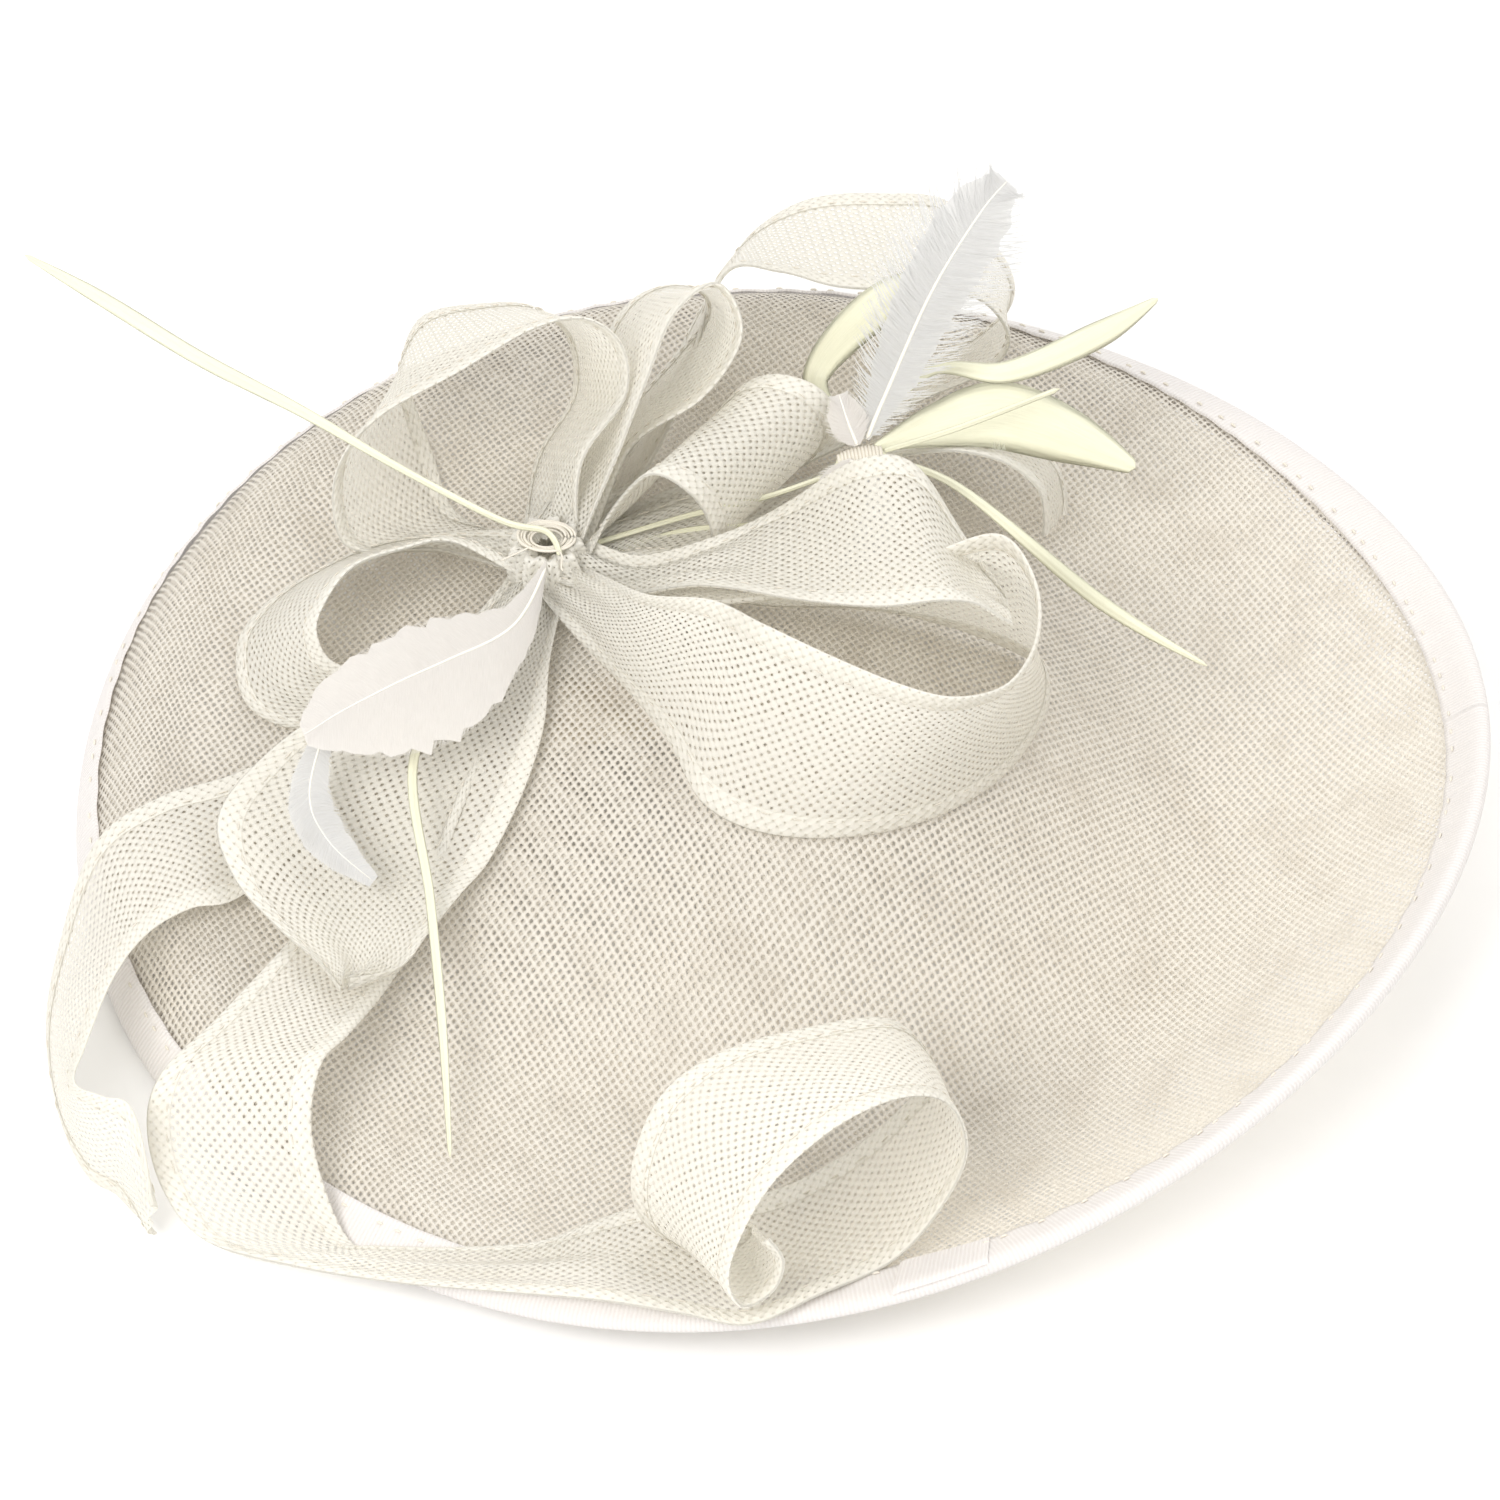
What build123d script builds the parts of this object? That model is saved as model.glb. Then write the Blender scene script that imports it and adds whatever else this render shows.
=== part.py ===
from build123d import *
import math
import os

# ---------------------------------------------------------------- driving dimensions (mm)
DISC_D = 300.0          # overall diameter of the saucer, edge to edge
DOME_H = 38.0           # height of the shallow crown above the table
LAYER_T = 0.7           # one layer of stiffened straw cloth
LAYER_GAP = 0.4         # air between the two layers of the saucer
BINDING_W = 10.0        # width of the ribbon binding round the edge
BINDING_T = 0.75        # thickness of the binding
WIRE_D = 1.0            # wire inside the binding
SINAMAY_T = 0.8         # one strip of the bow, hems included
FEATHER_T = 0.8         # vane of a feather, shaft included
QUILL_T = 1.0           # stripped quill
GATHER_W = 13.0         # a strip gathered where it enters the knot
HEART_R = 8.0           # knot of the bow
HEART_H = 15.0
CLIP_W = 9.0            # sprung clip under the crown
CLIP_FRONT = 34.0       # jaw in front of the pin
CLIP_TAIL = 14.0        # finger end behind the pin
CLIP_T = 0.8
PIN_D = 1.6
UP = -1.0               # in the clip's own drawing plane, away from the crown is +y
SPRING_WIRE = 0.5

# ---------------------------------------------------------------- shape of the saucer
K = DISC_D / 300.0      # everything in plan follows the diameter
HAT_X = 6.8 * K        # the saucer stands off the middle of the whole piece
HAT_Y = 1.4 * K
RIM_R = 151.5 * K       # outermost edge of the binding
CROWN_R = 92.0 * K      # foot of the crown on the lifted side
CROWN_R_MORE = 22.0 * K
SIDE_H = 20.0           # level of the brim on the side that rolls down
ROLL_W = 16.0 * K       # width of the rolled shoulder
LIFT_H = 45.0           # how far the brim sweeps up
LIFT_DIR = -32.0        # direction of the highest point of the brim
FLAT_R = 12.0 * K
STAND = 0.9
TURNS = 15.0            # angle between two sections of the saucer


def saucer_z(x, y):
    """Height of the middle of the saucer over a point of the plan, measured from its own centre."""
    r = min(math.hypot(x, y), RIM_R)
    lift = (1 + math.cos(math.atan2(y, x) - math.radians(LIFT_DIR))) / 2
    low = 1 - lift
    foot = CROWN_R + CROWN_R_MORE * low ** 1.5
    brim = SIDE_H * low ** 1.2
    t = min(r / foot, 1)
    crown = (DOME_H - brim) * (1 - t ** 2.4) ** 2
    rise = LIFT_H * lift ** 3.5 * max((r - foot) / (RIM_R - foot), 0) ** 1.7
    roll = max((r - (RIM_R - ROLL_W)) / ROLL_W, 0)
    return STAND + brim * (1 - roll ** 1.8) + crown + rise - 0.72 * roll


def saucer_point(r, azimuth, off):
    """Point (radius, height) of the radial profile, moved off its middle along the normal."""
    a = math.radians(azimuth)
    step = 0.05

    def z_at(radius):
        return saucer_z(radius * math.cos(a), radius * math.sin(a))

    inner = max(r - step, 0.0)
    outer = min(r + step, RIM_R)
    slope = (z_at(outer) - z_at(inner)) / (outer - inner)
    n = math.hypot(1, slope)
    return (r - slope / n * off, z_at(r) + off / n)


def from_edge(distance, azimuth):
    """Radius of the profile point lying a given distance in from the rim, along the cloth."""
    a = math.radians(azimuth)
    r = RIM_R
    last = saucer_z(r * math.cos(a), r * math.sin(a))
    gone = 0.0
    while gone < distance:
        r -= 0.1
        z = saucer_z(r * math.cos(a), r * math.sin(a))
        gone += math.hypot(0.1, z - last)
        last = z
    return r


def radial_plane(azimuth):
    """Upright plane through the saucer's axis, x outwards and y up."""
    a = math.radians(azimuth)
    return Plane(
        origin=(HAT_X, HAT_Y, 0),
        x_dir=(math.cos(a), math.sin(a), 0),
        z_dir=(math.sin(a), -math.cos(a), 0),
    )


def cloth_section(azimuth, low, high):
    """Section of one layer of the saucer from its middle to just short of the wire."""
    end = from_edge(2.6, azimuth)
    reach = [0.0, 0.12, 0.25, 0.38, 0.5, 0.6, 0.7, 0.78, 0.85, 0.9, 0.94, 0.97, 1.0]
    start = 8.0 * K
    radii = [start + (end - start) * u for u in reach]
    upper = [saucer_point(r, azimuth, high) for r in radii]
    lower = [saucer_point(r, azimuth, low) for r in radii]
    with BuildSketch(radial_plane(azimuth)) as section:
        with BuildLine():
            Spline(*upper)
            Line(upper[-1], lower[-1])
            Spline(*reversed(lower))
            Line(lower[0], upper[0])
        make_face()
    return section.sketch


def binding_section(azimuth):
    """Ribbon folded over the edge: a U lying on its side."""
    inner_off = LAYER_GAP / 2 + LAYER_T + 0.25
    outer_off = inner_off + BINDING_T
    outer = [saucer_point(from_edge(s, azimuth), azimuth, outer_off) for s in (BINDING_W + 0.5, 8.0, 5.5, 3.0, 1.4)]
    nose = [saucer_point(RIM_R, azimuth, 0)]
    outer_low = [saucer_point(from_edge(s, azimuth), azimuth, -outer_off) for s in (1.4, 3.0, 5.5, 8.0, BINDING_W + 0.5)]
    inner = [saucer_point(from_edge(s, azimuth), azimuth, inner_off) for s in (BINDING_W + 0.5, 8.0, 5.5, 3.0, 1.8)]
    inner_nose = [saucer_point(from_edge(0.85, azimuth), azimuth, 0)]
    inner_low = [saucer_point(from_edge(s, azimuth), azimuth, -inner_off) for s in (1.8, 3.0, 5.5, 8.0, BINDING_W + 0.5)]
    outside = outer + nose + outer_low
    inside = inner + inner_nose + inner_low
    with BuildSketch(radial_plane(azimuth)) as section:
        with BuildLine():
            Spline(*outside)
            Line(outside[-1], inside[-1])
            Spline(*reversed(inside))
            Line(inside[0], outside[0])
        make_face()
    return section.sketch


def wire_section(azimuth):
    """Eight-sided section of the wire that keeps the rim in shape."""
    centre = saucer_point(from_edge(1.7, azimuth), azimuth, 0)
    with BuildSketch(radial_plane(azimuth)) as section:
        with Locations(centre):
            RegularPolygon(radius=WIRE_D / 2, side_count=8)
    return section.sketch


def half_turn(first):
    """Azimuths of the sections that make one half of the saucer."""
    count = round(180 / TURNS)
    return [first + i * TURNS for i in range(count + 1)]


# ---------------------------------------------------------------- strips, feathers and quills
def on_hat(point):
    """Place a point given in plan from the saucer's centre and in height above the cloth."""
    x, y, h = point
    x, y = x * K, y * K
    return Vector(HAT_X + x, HAT_Y + y, saucer_z(x, y) + h)


HEART = on_hat((-50, 34, 0))
HEART_Z = HEART.Z + 4.2
FACING = Vector(0, -0.64, 0.77)     # the side from which the feathers are seen flat


def knot_end(level, edges):
    """The gathered end of a strip inside the knot, laid flat at its own level."""
    near, far = edges
    middle = (near + far) * 0.5
    out = Vector(middle.X - HEART.X, middle.Y - HEART.Y, 0).normalized()
    side = Vector(-out.Y, out.X, 0) * (GATHER_W / 2)
    centre = Vector(HEART.X, HEART.Y, HEART_Z + level) + out * (HEART_R * 0.6)
    straight = (centre + side - near).length + (centre - side - far).length
    crossed = (centre - side - near).length + (centre + side - far).length
    if straight <= crossed:
        return (centre + side, centre - side)
    return (centre - side, centre + side)


def between(a, b, c, d):
    """Point halfway along a smooth curve through b and c."""
    return (b + c) * (9 / 16) - (a + d) * (1 / 16)


def smoothed(rows):
    """Add a station halfway between each two stations."""
    result = []
    for i in range(len(rows) - 1):
        before = rows[max(i - 1, 0)]
        after = rows[min(i + 2, len(rows) - 1)]
        result.append(rows[i])
        result.append(tuple(between(before[k], rows[i][k], rows[i + 1][k], after[k]) for k in (0, 1)))
    result.append(rows[-1])
    return result


def strip_rows(route, start=None, end=None):
    """Both edges of a strip at every station, with its ends gathered into the knot."""
    rows = [(on_hat(near), on_hat(far)) for near, far in route]
    if start is not None:
        rows[0] = knot_end(start, rows[1])
    if end is not None:
        rows[-1] = knot_end(end, rows[-2])
    return smoothed(rows)


def blade_rows(route):
    """Both edges of a feather or quill from its middle line and widths."""
    spine = [on_hat((x, y, h)) for x, y, h, w in route]
    rows = []
    for i, (x, y, h, w) in enumerate(route):
        along = (spine[min(i + 1, len(spine) - 1)] - spine[max(i - 1, 0)]).normalized()
        side = along.cross(FACING).normalized() * (w / 2)
        rows.append((spine[i] - side, spine[i] + side))
    return smoothed(rows)


def sections(rows, thickness):
    """Thin rectangles across the strip, square to its run."""
    result = []
    for i, (near, far) in enumerate(rows):
        middle = (near + far) * 0.5
        before = rows[max(i - 1, 0)]
        after = rows[min(i + 1, len(rows) - 1)]
        run = (after[0] + after[1] - before[0] - before[1]).normalized()
        across = (far - near).normalized()
        run = (run - across * run.dot(across)).normalized()
        with BuildSketch(Plane(origin=middle, x_dir=across, z_dir=run)) as section:
            Rectangle((far - near).length, thickness)
        result.append(section.sketch)
    return result


# Each route lists the stations of a strip: its near edge and its far edge as (x, y) from the
# saucer's centre and height above the cloth. The first and last stations of a loop lie in the knot.
LOOP_FRONT = [
    ((-49, 29, 2), (-46, 20, 13)),
    ((-37, 7, 2), (-29, -1, 34)),
    ((-24, -14, 3), (-14, -13, 45)),
    ((-16, -30, 3), (-3, -14, 38)),
    ((-3, -36, 2), (11, -21, 38)),
    ((15, -36, 3), (25, -30, 46)),
    ((33, -28, 3), (37, -32, 50)),
    ((48, -13, 3), (48, -24, 48)),
    ((57, 6, 3), (54, -7, 43)),
    ((58, 20, 3), (54, 9, 43)),
    ((52, 24, 2), (47, 19, 43)),
    ((37, 24, 3), (33, 20, 30)),
    ((17, 24, 3), (13, 15, 20)),
    ((-8, 24, 4), (-10, 14, 15)),
    ((-41, 30, 2), (-38, 22, 15)),
]

LEAF_RIGHT = [
    ((-46, 25, 6), (-44, 30, 6)),
    ((-34, 20, 12), (-30, 33, 9)),
    ((-17, 14, 19), (-13, 34, 14)),
    ((2, 6, 23), (2, 48, 14)),
    ((21, 0, 29), (17, 45, 32)),
    ((34, -1, 36), (29, 43, 36)),
    ((42, -1, 39), (40, 30, 28)),
    ((49, -4, 42), (48, 4, 39)),
]

LOOP_RIGHT = [
    ((-47, 41, 9), (-41, 54, 4)),
    ((-37, 37, 19), (-24, 65, 12)),
    ((-28, 36, 33), (-7, 74, 32)),
    ((-19, 34, 28), (6, 71, 36)),
    ((-15, 35, 16), (13, 70, 27)),
    ((-16, 35, 7), (8, 72, 13)),
    ((-24, 33, 8), (-2, 68, 10)),
    ((-34, 35, 8), (-19, 57, 9)),
    ((-45, 37, 7), (-39, 46, 3)),
]

LOOP_LEFT = [
    ((-51, 39, 11), (-54, 51, 5)),
    ((-42, 47, 29), (-53, 71, 12)),
    ((-33, 58, 39), (-46, 88, 17)),
    ((-34, 66, 49), (-47, 98, 27)),
    ((-42, 70, 55), (-55, 102, 32)),
    ((-54, 69, 54), (-66, 103, 31)),
    ((-70, 66, 45), (-79, 104, 25)),
    ((-87, 63, 35), (-84, 101, 13)),
    ((-96, 58, 25), (-82, 96, 7)),
    ((-97, 49, 17), (-77, 84, 2)),
    ((-92, 46, 10), (-72, 67, 2)),
    ((-74, 48, 5), (-63, 58, 2)),
    ((-55, 41, 6), (-54, 50, 3)),
]

LOOP_BACK = [
    ((-47, 39, 12), (-50, 51, 5)),
    ((-35, 45, 29), (-43, 71, 16)),
    ((-29, 56, 44), (-39, 92, 28)),
    ((-23, 67, 57), (-33, 99, 36)),
    ((-14, 73, 63), (-25, 102, 39)),
    ((-9, 69, 58), (-17, 101, 39)),
    ((-9, 65, 49), (-16, 99, 33)),
    ((-17, 61, 35), (-22, 99, 22)),
    ((-33, 55, 24), (-35, 83, 13)),
    ((-45, 42, 12), (-48, 55, 6)),
]

LOOP_SMALL = [
    ((-55, 41, 12), (-58, 53, 5)),
    ((-70, 33, 23), (-72, 50, 8)),
    ((-81, 29, 27), (-89, 52, 5)),
    ((-91, 24, 29), (-105, 46, 2)),
    ((-97, 18, 26), (-114, 37, 2)),
    ((-99, 12, 23), (-118, 26, 2)),
    ((-95, 8, 17), (-114, 10, 2)),
    ((-83, 8, 12), (-99, 3, 3)),
    ((-66, 14, 8), (-75, 8, 6)),
    ((-53, 28, 4), (-55, 27, 2)),
]

LEAF_FRONT = [
    ((-53, 24, 8), (-49, 25, 5)),
    ((-73, 11, 12), (-49, 7, 6)),
    ((-93, -1, 16), (-50, -8, 4)),
    ((-110, -11, 12), (-54, -23, 4)),
    ((-119, -27, 12), (-61, -38, 5)),
    ((-115, -43, 12), (-67, -47, 9)),
    ((-105, -57, 14), (-73, -57, 13)),
    ((-96, -67, 17), (-79, -67, 15)),
    ((-91, -75, 20), (-89, -75, 20)),
]

STREAMER_LEFT = [
    ((-56, 26, 2), (-54, 23, 3)),
    ((-77, 8, 6), (-75, -5, 7)),
    ((-101, 0, 3), (-98, -24, 3)),
    ((-117, -8, 2), (-114, -43, 6)),
    ((-133, -14, 2), (-124, -48, 8)),
    ((-146, -25, 12), (-133, -56, 14)),
    ((-153, -44, 6), (-140, -71, 26)),
    ((-155, -65, 4), (-144, -89, 27)),
    ((-151, -85, 2), (-144, -102, 33)),
    ((-144, -101, 1), (-138, -108, 36)),
    ((-137, -107, 1), (-132, -112, 36)),
    ((-130, -118, 1), (-128, -119, 14)),
]

STREAMER_FRONT = [
    ((-58, 27, 3), (-53, 24, 3)),
    ((-74, -11, 3), (-66, -23, 5)),
    ((-91, -35, 4), (-74, -48, 4)),
    ((-104, -59, 10), (-82, -67, 8)),
    ((-117, -83, 20), (-89, -86, 17)),
    ((-127, -98, 31), (-94, -96, 20)),
    ((-130, -106, 24), (-96, -107, 17)),
    ((-127, -114, 12), (-93, -116, 9)),
    ((-118, -121, 3), (-88, -123, 4)),
    ((-98, -130, 5), (-81, -126, 4)),
    ((-77, -136, 6), (-66, -129, 4)),
    ((-57, -140, 6), (-49, -129, 4)),
    ((-36, -145, 6), (-38, -122, 3)),
    ((-20, -150, 6), (-26, -116, 3)),
    ((-6, -155, 6), (-12, -118, 7)),
    ((8, -148, 4), (1, -111, 4)),
    ((23, -139, 3), (15, -103, 8)),
    ((33, -131, 12), (25, -96, 14)),
    ((38, -125, 25), (31, -92, 23)),
    ((34, -124, 41), (23, -91, 38)),
    ((24, -128, 48), (6, -98, 43)),
    ((11, -135, 46), (-12, -107, 44)),
    ((-1, -143, 38), (-24, -115, 38)),
    ((-8, -150, 28), (-30, -122, 22)),
    ((-10, -154, 20), (-28, -125, 7)),
    ((-7, -154, 11), (-18, -129, 3)),
    ((-1, -150, 10), (-10, -128, 3)),
    ((1, -148, 17), (-6, -129, 9)),
    ((-2, -147, 24), (-7, -134, 17)),
]

LOOP_FAR = [
    ((-39, 38, 5), (-41, 43, 6)),
    ((-30, 58, 12), (-31, 83, 6)),
    ((-20, 82, 26), (-20, 120, 7)),
    ((-12, 105, 41), (-12, 133, 14)),
    ((0, 99, 49), (-5, 134, 27)),
    ((13, 92, 52), (7, 134, 37)),
    ((29, 92, 53), (23, 135, 39)),
    ((44, 97, 47), (38, 140, 37)),
    ((51, 98, 35), (51, 139, 22)),
    ((47, 99, 23), (52, 134, 8)),
    ((31, 93, 18), (39, 119, 6)),
    ((16, 82, 11), (23, 106, 7)),
    ((-4, 67, 6), (-2, 78, 6)),
    ((-22, 50, 5), (-26, 61, 5)),
    ((-44, 38, 3), (-46, 42, 3)),
]

CURL_RIGHT = [
    ((-46, 40, 2), (-50, 46, 2)),
    ((-18, 44, 2), (-26, 56, 2)),
    ((-6, 52, 2), (-8, 66, 2)),
    ((5, 58, 3), (5, 71, 3)),
    ((20, 62, 18), (22, 85, 10)),
    ((35, 63, 27), (40, 86, 17)),
    ((48, 62, 30), (52, 86, 17)),
    ((56, 60, 27), (61, 84, 11)),
    ((58, 60, 19), (64, 83, 3)),
    ((58, 60, 11), (64, 78, 2)),
]

# Feathers and quills: stations of the middle line and the width there.
QUILL_LEFT = [
    (-47, 29, 17, 1.6), (-50, 33, 21, 1.6), (-60, 35, 25, 1.8), (-82, 46, 36, 2), (-103, 59, 42, 3),
    (-126, 74, 53, 4), (-148, 88, 68, 4), (-165, 99, 70, 1.2),
]
QUILL_LOW = [(-51, 29, 12, 1.4), (-63, -2, 18, 1.6), (-77, -21, 19, 3), (-73, -53, 17, 3), (-70, -80, 13, 3), (-68, -106, 3, 1.2)]
QUILL_RIGHT = [(21, 57, 25, 1.6), (39, 50, 27, 2.5), (69, 26, 28, 4), (92, 11, 32, 1.2)]
QUILL_UPPER = [(19, 62, 27, 1.6), (33, 79, 40, 2.5), (50, 77, 46, 5), (70, 85, 51, 6), (83, 92, 54, 1.2)]
QUILL_BROAD = [(21, 60, 26, 1.8), (34, 68, 31, 10), (48, 71, 37, 15), (64, 69, 36, 12), (78, 64, 33, 3)]
QUILL_PALE = [(17, 63, 26, 1.8), (8, 80, 31, 6), (22, 87, 52, 9), (40, 93, 63, 2)]
QUILL_THREAD = [(23, 58, 27, 1.2), (39, 62, 37, 1.4), (61, 70, 50, 1.2)]
STEM_UPPER = [(-45, 36, 11, 1.6), (-21, 46, 10, 1.8), (-2, 51, 13, 1.8), (14, 56, 20, 1.6)]
STEM_LOWER = [(-44, 35, 7, 1.6), (-22, 44, 7, 1.8), (-2, 47, 8, 1.8), (14, 54, 17, 1.6)]
PLUME_TALL = [(19, 60, 28, 2), (24, 68, 41, 16), (33, 79, 65, 26), (43, 87, 84, 26), (49, 90, 92, 10)]
FEATHER_UPPER = [(17, 58, 27, 1.8), (15, 62, 31, 10), (13, 67, 36, 4)]
FEATHER_LOWER = [(16, 54, 25, 1.8), (13, 50, 20, 9), (8, 45, 15, 4)]
FEATHER_WISP = [(20, 54, 23, 1.8), (21, 40, 14, 9), (13, 33, 8, 3)]
FEATHER_SMALL = [(-94, -14, 31, 2), (-99, -28, 22, 9), (-95, -39, 20, 10), (-85, -49, 19, 3)]
FEATHER_FRONT = [
    ((-50, 24, 16), (-50, 28, 17)), ((-53, 2, 17), (-59, 12, 21)), ((-63, -19, 23), (-74, 6, 28)),
    ((-75, -27, 28), (-86, -2, 33)), ((-88, -27, 30), (-97, -11, 34)), ((-99, -24, 31), (-101, -19, 32)),
]

# ---------------------------------------------------------------- saucer: two layers, wire and binding
os.makedirs("parts", exist_ok=True)

TOP_LOW = LAYER_GAP / 2
TOP_HIGH = TOP_LOW + LAYER_T
with BuildPart() as saucer_top_layer:
    loft(sections=[cloth_section(a, TOP_LOW, TOP_HIGH) for a in half_turn(0)])
    loft(sections=[cloth_section(a, TOP_LOW, TOP_HIGH) for a in half_turn(180)])
    with BuildSketch(Plane.XY.offset(STAND + DOME_H + TOP_LOW + 0.15)):
        with Locations((HAT_X, HAT_Y)):
            Circle(9.0 * K)
    extrude(amount=LAYER_T - 0.3)
saucer_top_layer.part.label = "saucer_top_layer"
export_step(saucer_top_layer.part, "parts/saucer_top_layer.step")

with BuildPart() as saucer_under_layer:
    loft(sections=[cloth_section(a, -TOP_HIGH, -TOP_LOW) for a in half_turn(0)])
    loft(sections=[cloth_section(a, -TOP_HIGH, -TOP_LOW) for a in half_turn(180)])
    with BuildSketch(Plane.XY.offset(STAND + DOME_H - TOP_HIGH + 0.15)):
        with Locations((HAT_X, HAT_Y)):
            Circle(9.0 * K)
    extrude(amount=LAYER_T - 0.3)
saucer_under_layer.part.label = "saucer_under_layer"
export_step(saucer_under_layer.part, "parts/saucer_under_layer.step")

with BuildPart() as edge_binding:
    loft(sections=[binding_section(a) for a in half_turn(0)])
    loft(sections=[binding_section(a) for a in half_turn(180)])
edge_binding.part.label = "edge_binding"
export_step(edge_binding.part, "parts/edge_binding.step")

with BuildPart() as brim_wire:
    loft(sections=[wire_section(a) for a in half_turn(0)])
    loft(sections=[wire_section(a) for a in half_turn(180)])
brim_wire.part.label = "brim_wire"
export_step(brim_wire.part, "parts/brim_wire.step")

# ---------------------------------------------------------------- knot of the bow
with BuildPart() as bow_heart:
    with BuildSketch(Plane(origin=(HEART.X, HEART.Y, HEART_Z - 1.5), x_dir=(1, 0, 0), z_dir=(0, -1, 0))):
        with BuildLine():
            Line((0, 0), (HEART_R * 0.8, 0))
            Spline((HEART_R * 0.8, 0), (HEART_R, HEART_H * 0.3), (HEART_R, HEART_H * 0.7), (HEART_R * 0.7, HEART_H))
            Line((HEART_R * 0.7, HEART_H), (0, HEART_H))
            Line((0, HEART_H), (0, 0))
        make_face()
    revolve(axis=Axis((HEART.X, HEART.Y, 0), (0, 0, 1)))
bow_heart.part.label = "bow_heart"
export_step(bow_heart.part, "parts/bow_heart.step")

THREAD_Z = HEART_Z - 1.5 + HEART_H + 0.65
with BuildPart() as bow_thread:
    with BuildSketch(Plane(origin=(HEART.X, HEART.Y, THREAD_Z), x_dir=(1, 0, 0), z_dir=(0, -1, 0))):
        with Locations((HEART_R * 0.35, 0)):
            Circle(0.6)
    revolve(axis=Axis((HEART.X, HEART.Y, 0), (0, 0, 1)))
bow_thread.part.label = "bow_thread"
export_step(bow_thread.part, "parts/bow_thread.step")

# ---------------------------------------------------------------- spray of feathers: its thread and the two quills that carry it
SPRAY = on_hat((18, 57, 23))
SPRAY_R = 3.2
with BuildPart() as spray_thread:
    with BuildSketch(Plane(origin=SPRAY - Vector(5, 1, 0.5), x_dir=(0, 1, 0), z_dir=(0.98, 0.18, 0.08))):
        Circle(SPRAY_R)
    extrude(amount=10)
    fillet(spray_thread.edges(), 0.9)
spray_thread.part.label = "spray_thread"
export_step(spray_thread.part, "parts/spray_thread.step")

with BuildPart() as stem_upper:
    loft(sections=sections(blade_rows(STEM_UPPER), QUILL_T), ruled=True, clean=False)
    add(bow_heart.part, mode=Mode.SUBTRACT)
    add(spray_thread.part, mode=Mode.SUBTRACT)
stem_upper.part.label = "stem_upper"
export_step(stem_upper.part, "parts/stem_upper.step")

with BuildPart() as stem_lower:
    loft(sections=sections(blade_rows(STEM_LOWER), QUILL_T), ruled=True, clean=False)
    add(bow_heart.part, mode=Mode.SUBTRACT)
    add(spray_thread.part, mode=Mode.SUBTRACT)
stem_lower.part.label = "stem_lower"
export_step(stem_lower.part, "parts/stem_lower.step")

# ---------------------------------------------------------------- strips of the bow
with BuildPart() as streamer_front:
    loft(sections=sections(strip_rows(STREAMER_FRONT, start=0), SINAMAY_T), ruled=True, clean=False)
    add(bow_heart.part, mode=Mode.SUBTRACT)
streamer_front.part.label = "streamer_front"
export_step(streamer_front.part, "parts/streamer_front.step")

with BuildPart() as streamer_left:
    loft(sections=sections(strip_rows(STREAMER_LEFT, start=1.7), SINAMAY_T), ruled=True, clean=False)
    add(bow_heart.part, mode=Mode.SUBTRACT)
streamer_left.part.label = "streamer_left"
export_step(streamer_left.part, "parts/streamer_left.step")

with BuildPart() as leaf_front:
    loft(sections=sections(strip_rows(LEAF_FRONT, start=4.9), SINAMAY_T), ruled=True, clean=False)
    add(bow_heart.part, mode=Mode.SUBTRACT)
leaf_front.part.label = "leaf_front"
export_step(leaf_front.part, "parts/leaf_front.step")

with BuildPart() as loop_small:
    loft(sections=sections(strip_rows(LOOP_SMALL, start=7.5, end=3.3), SINAMAY_T), ruled=True, clean=False)
    add(bow_heart.part, mode=Mode.SUBTRACT)
    add(streamer_left.part, mode=Mode.SUBTRACT)
loop_small.part.label = "loop_small"
export_step(loop_small.part, "parts/loop_small.step")

with BuildPart() as loop_left:
    loft(sections=sections(strip_rows(LOOP_LEFT, start=9.2, end=3), SINAMAY_T), ruled=True, clean=False)
    add(bow_heart.part, mode=Mode.SUBTRACT)
    add(loop_small.part, mode=Mode.SUBTRACT)
loop_left.part.label = "loop_left"
export_step(loop_left.part, "parts/loop_left.step")

with BuildPart() as curl_right:
    loft(sections=sections(strip_rows(CURL_RIGHT, start=0), SINAMAY_T), ruled=True, clean=False)
    add(bow_heart.part, mode=Mode.SUBTRACT)
curl_right.part.label = "curl_right"
export_step(curl_right.part, "parts/curl_right.step")

with BuildPart() as loop_far:
    loft(sections=sections(strip_rows(LOOP_FAR, start=3.4, end=1.7), SINAMAY_T), ruled=True, clean=False)
    add(bow_heart.part, mode=Mode.SUBTRACT)
    add(loop_left.part, mode=Mode.SUBTRACT)
    add(stem_lower.part, mode=Mode.SUBTRACT)
loop_far_run = loop_far.part.solids().sort_by(SortBy.VOLUME)[-1]
loop_far_run.label = "loop_far"
export_step(loop_far_run, "parts/loop_far.step")

with BuildPart() as loop_right:
    loft(sections=sections(strip_rows(LOOP_RIGHT, start=7.9, end=5.1), SINAMAY_T), ruled=True, clean=False)
    add(bow_heart.part, mode=Mode.SUBTRACT)
    add(loop_far.part, mode=Mode.SUBTRACT)
    add(stem_upper.part, mode=Mode.SUBTRACT)
    add(stem_lower.part, mode=Mode.SUBTRACT)
loop_right.part.label = "loop_right"
export_step(loop_right.part, "parts/loop_right.step")

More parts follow.
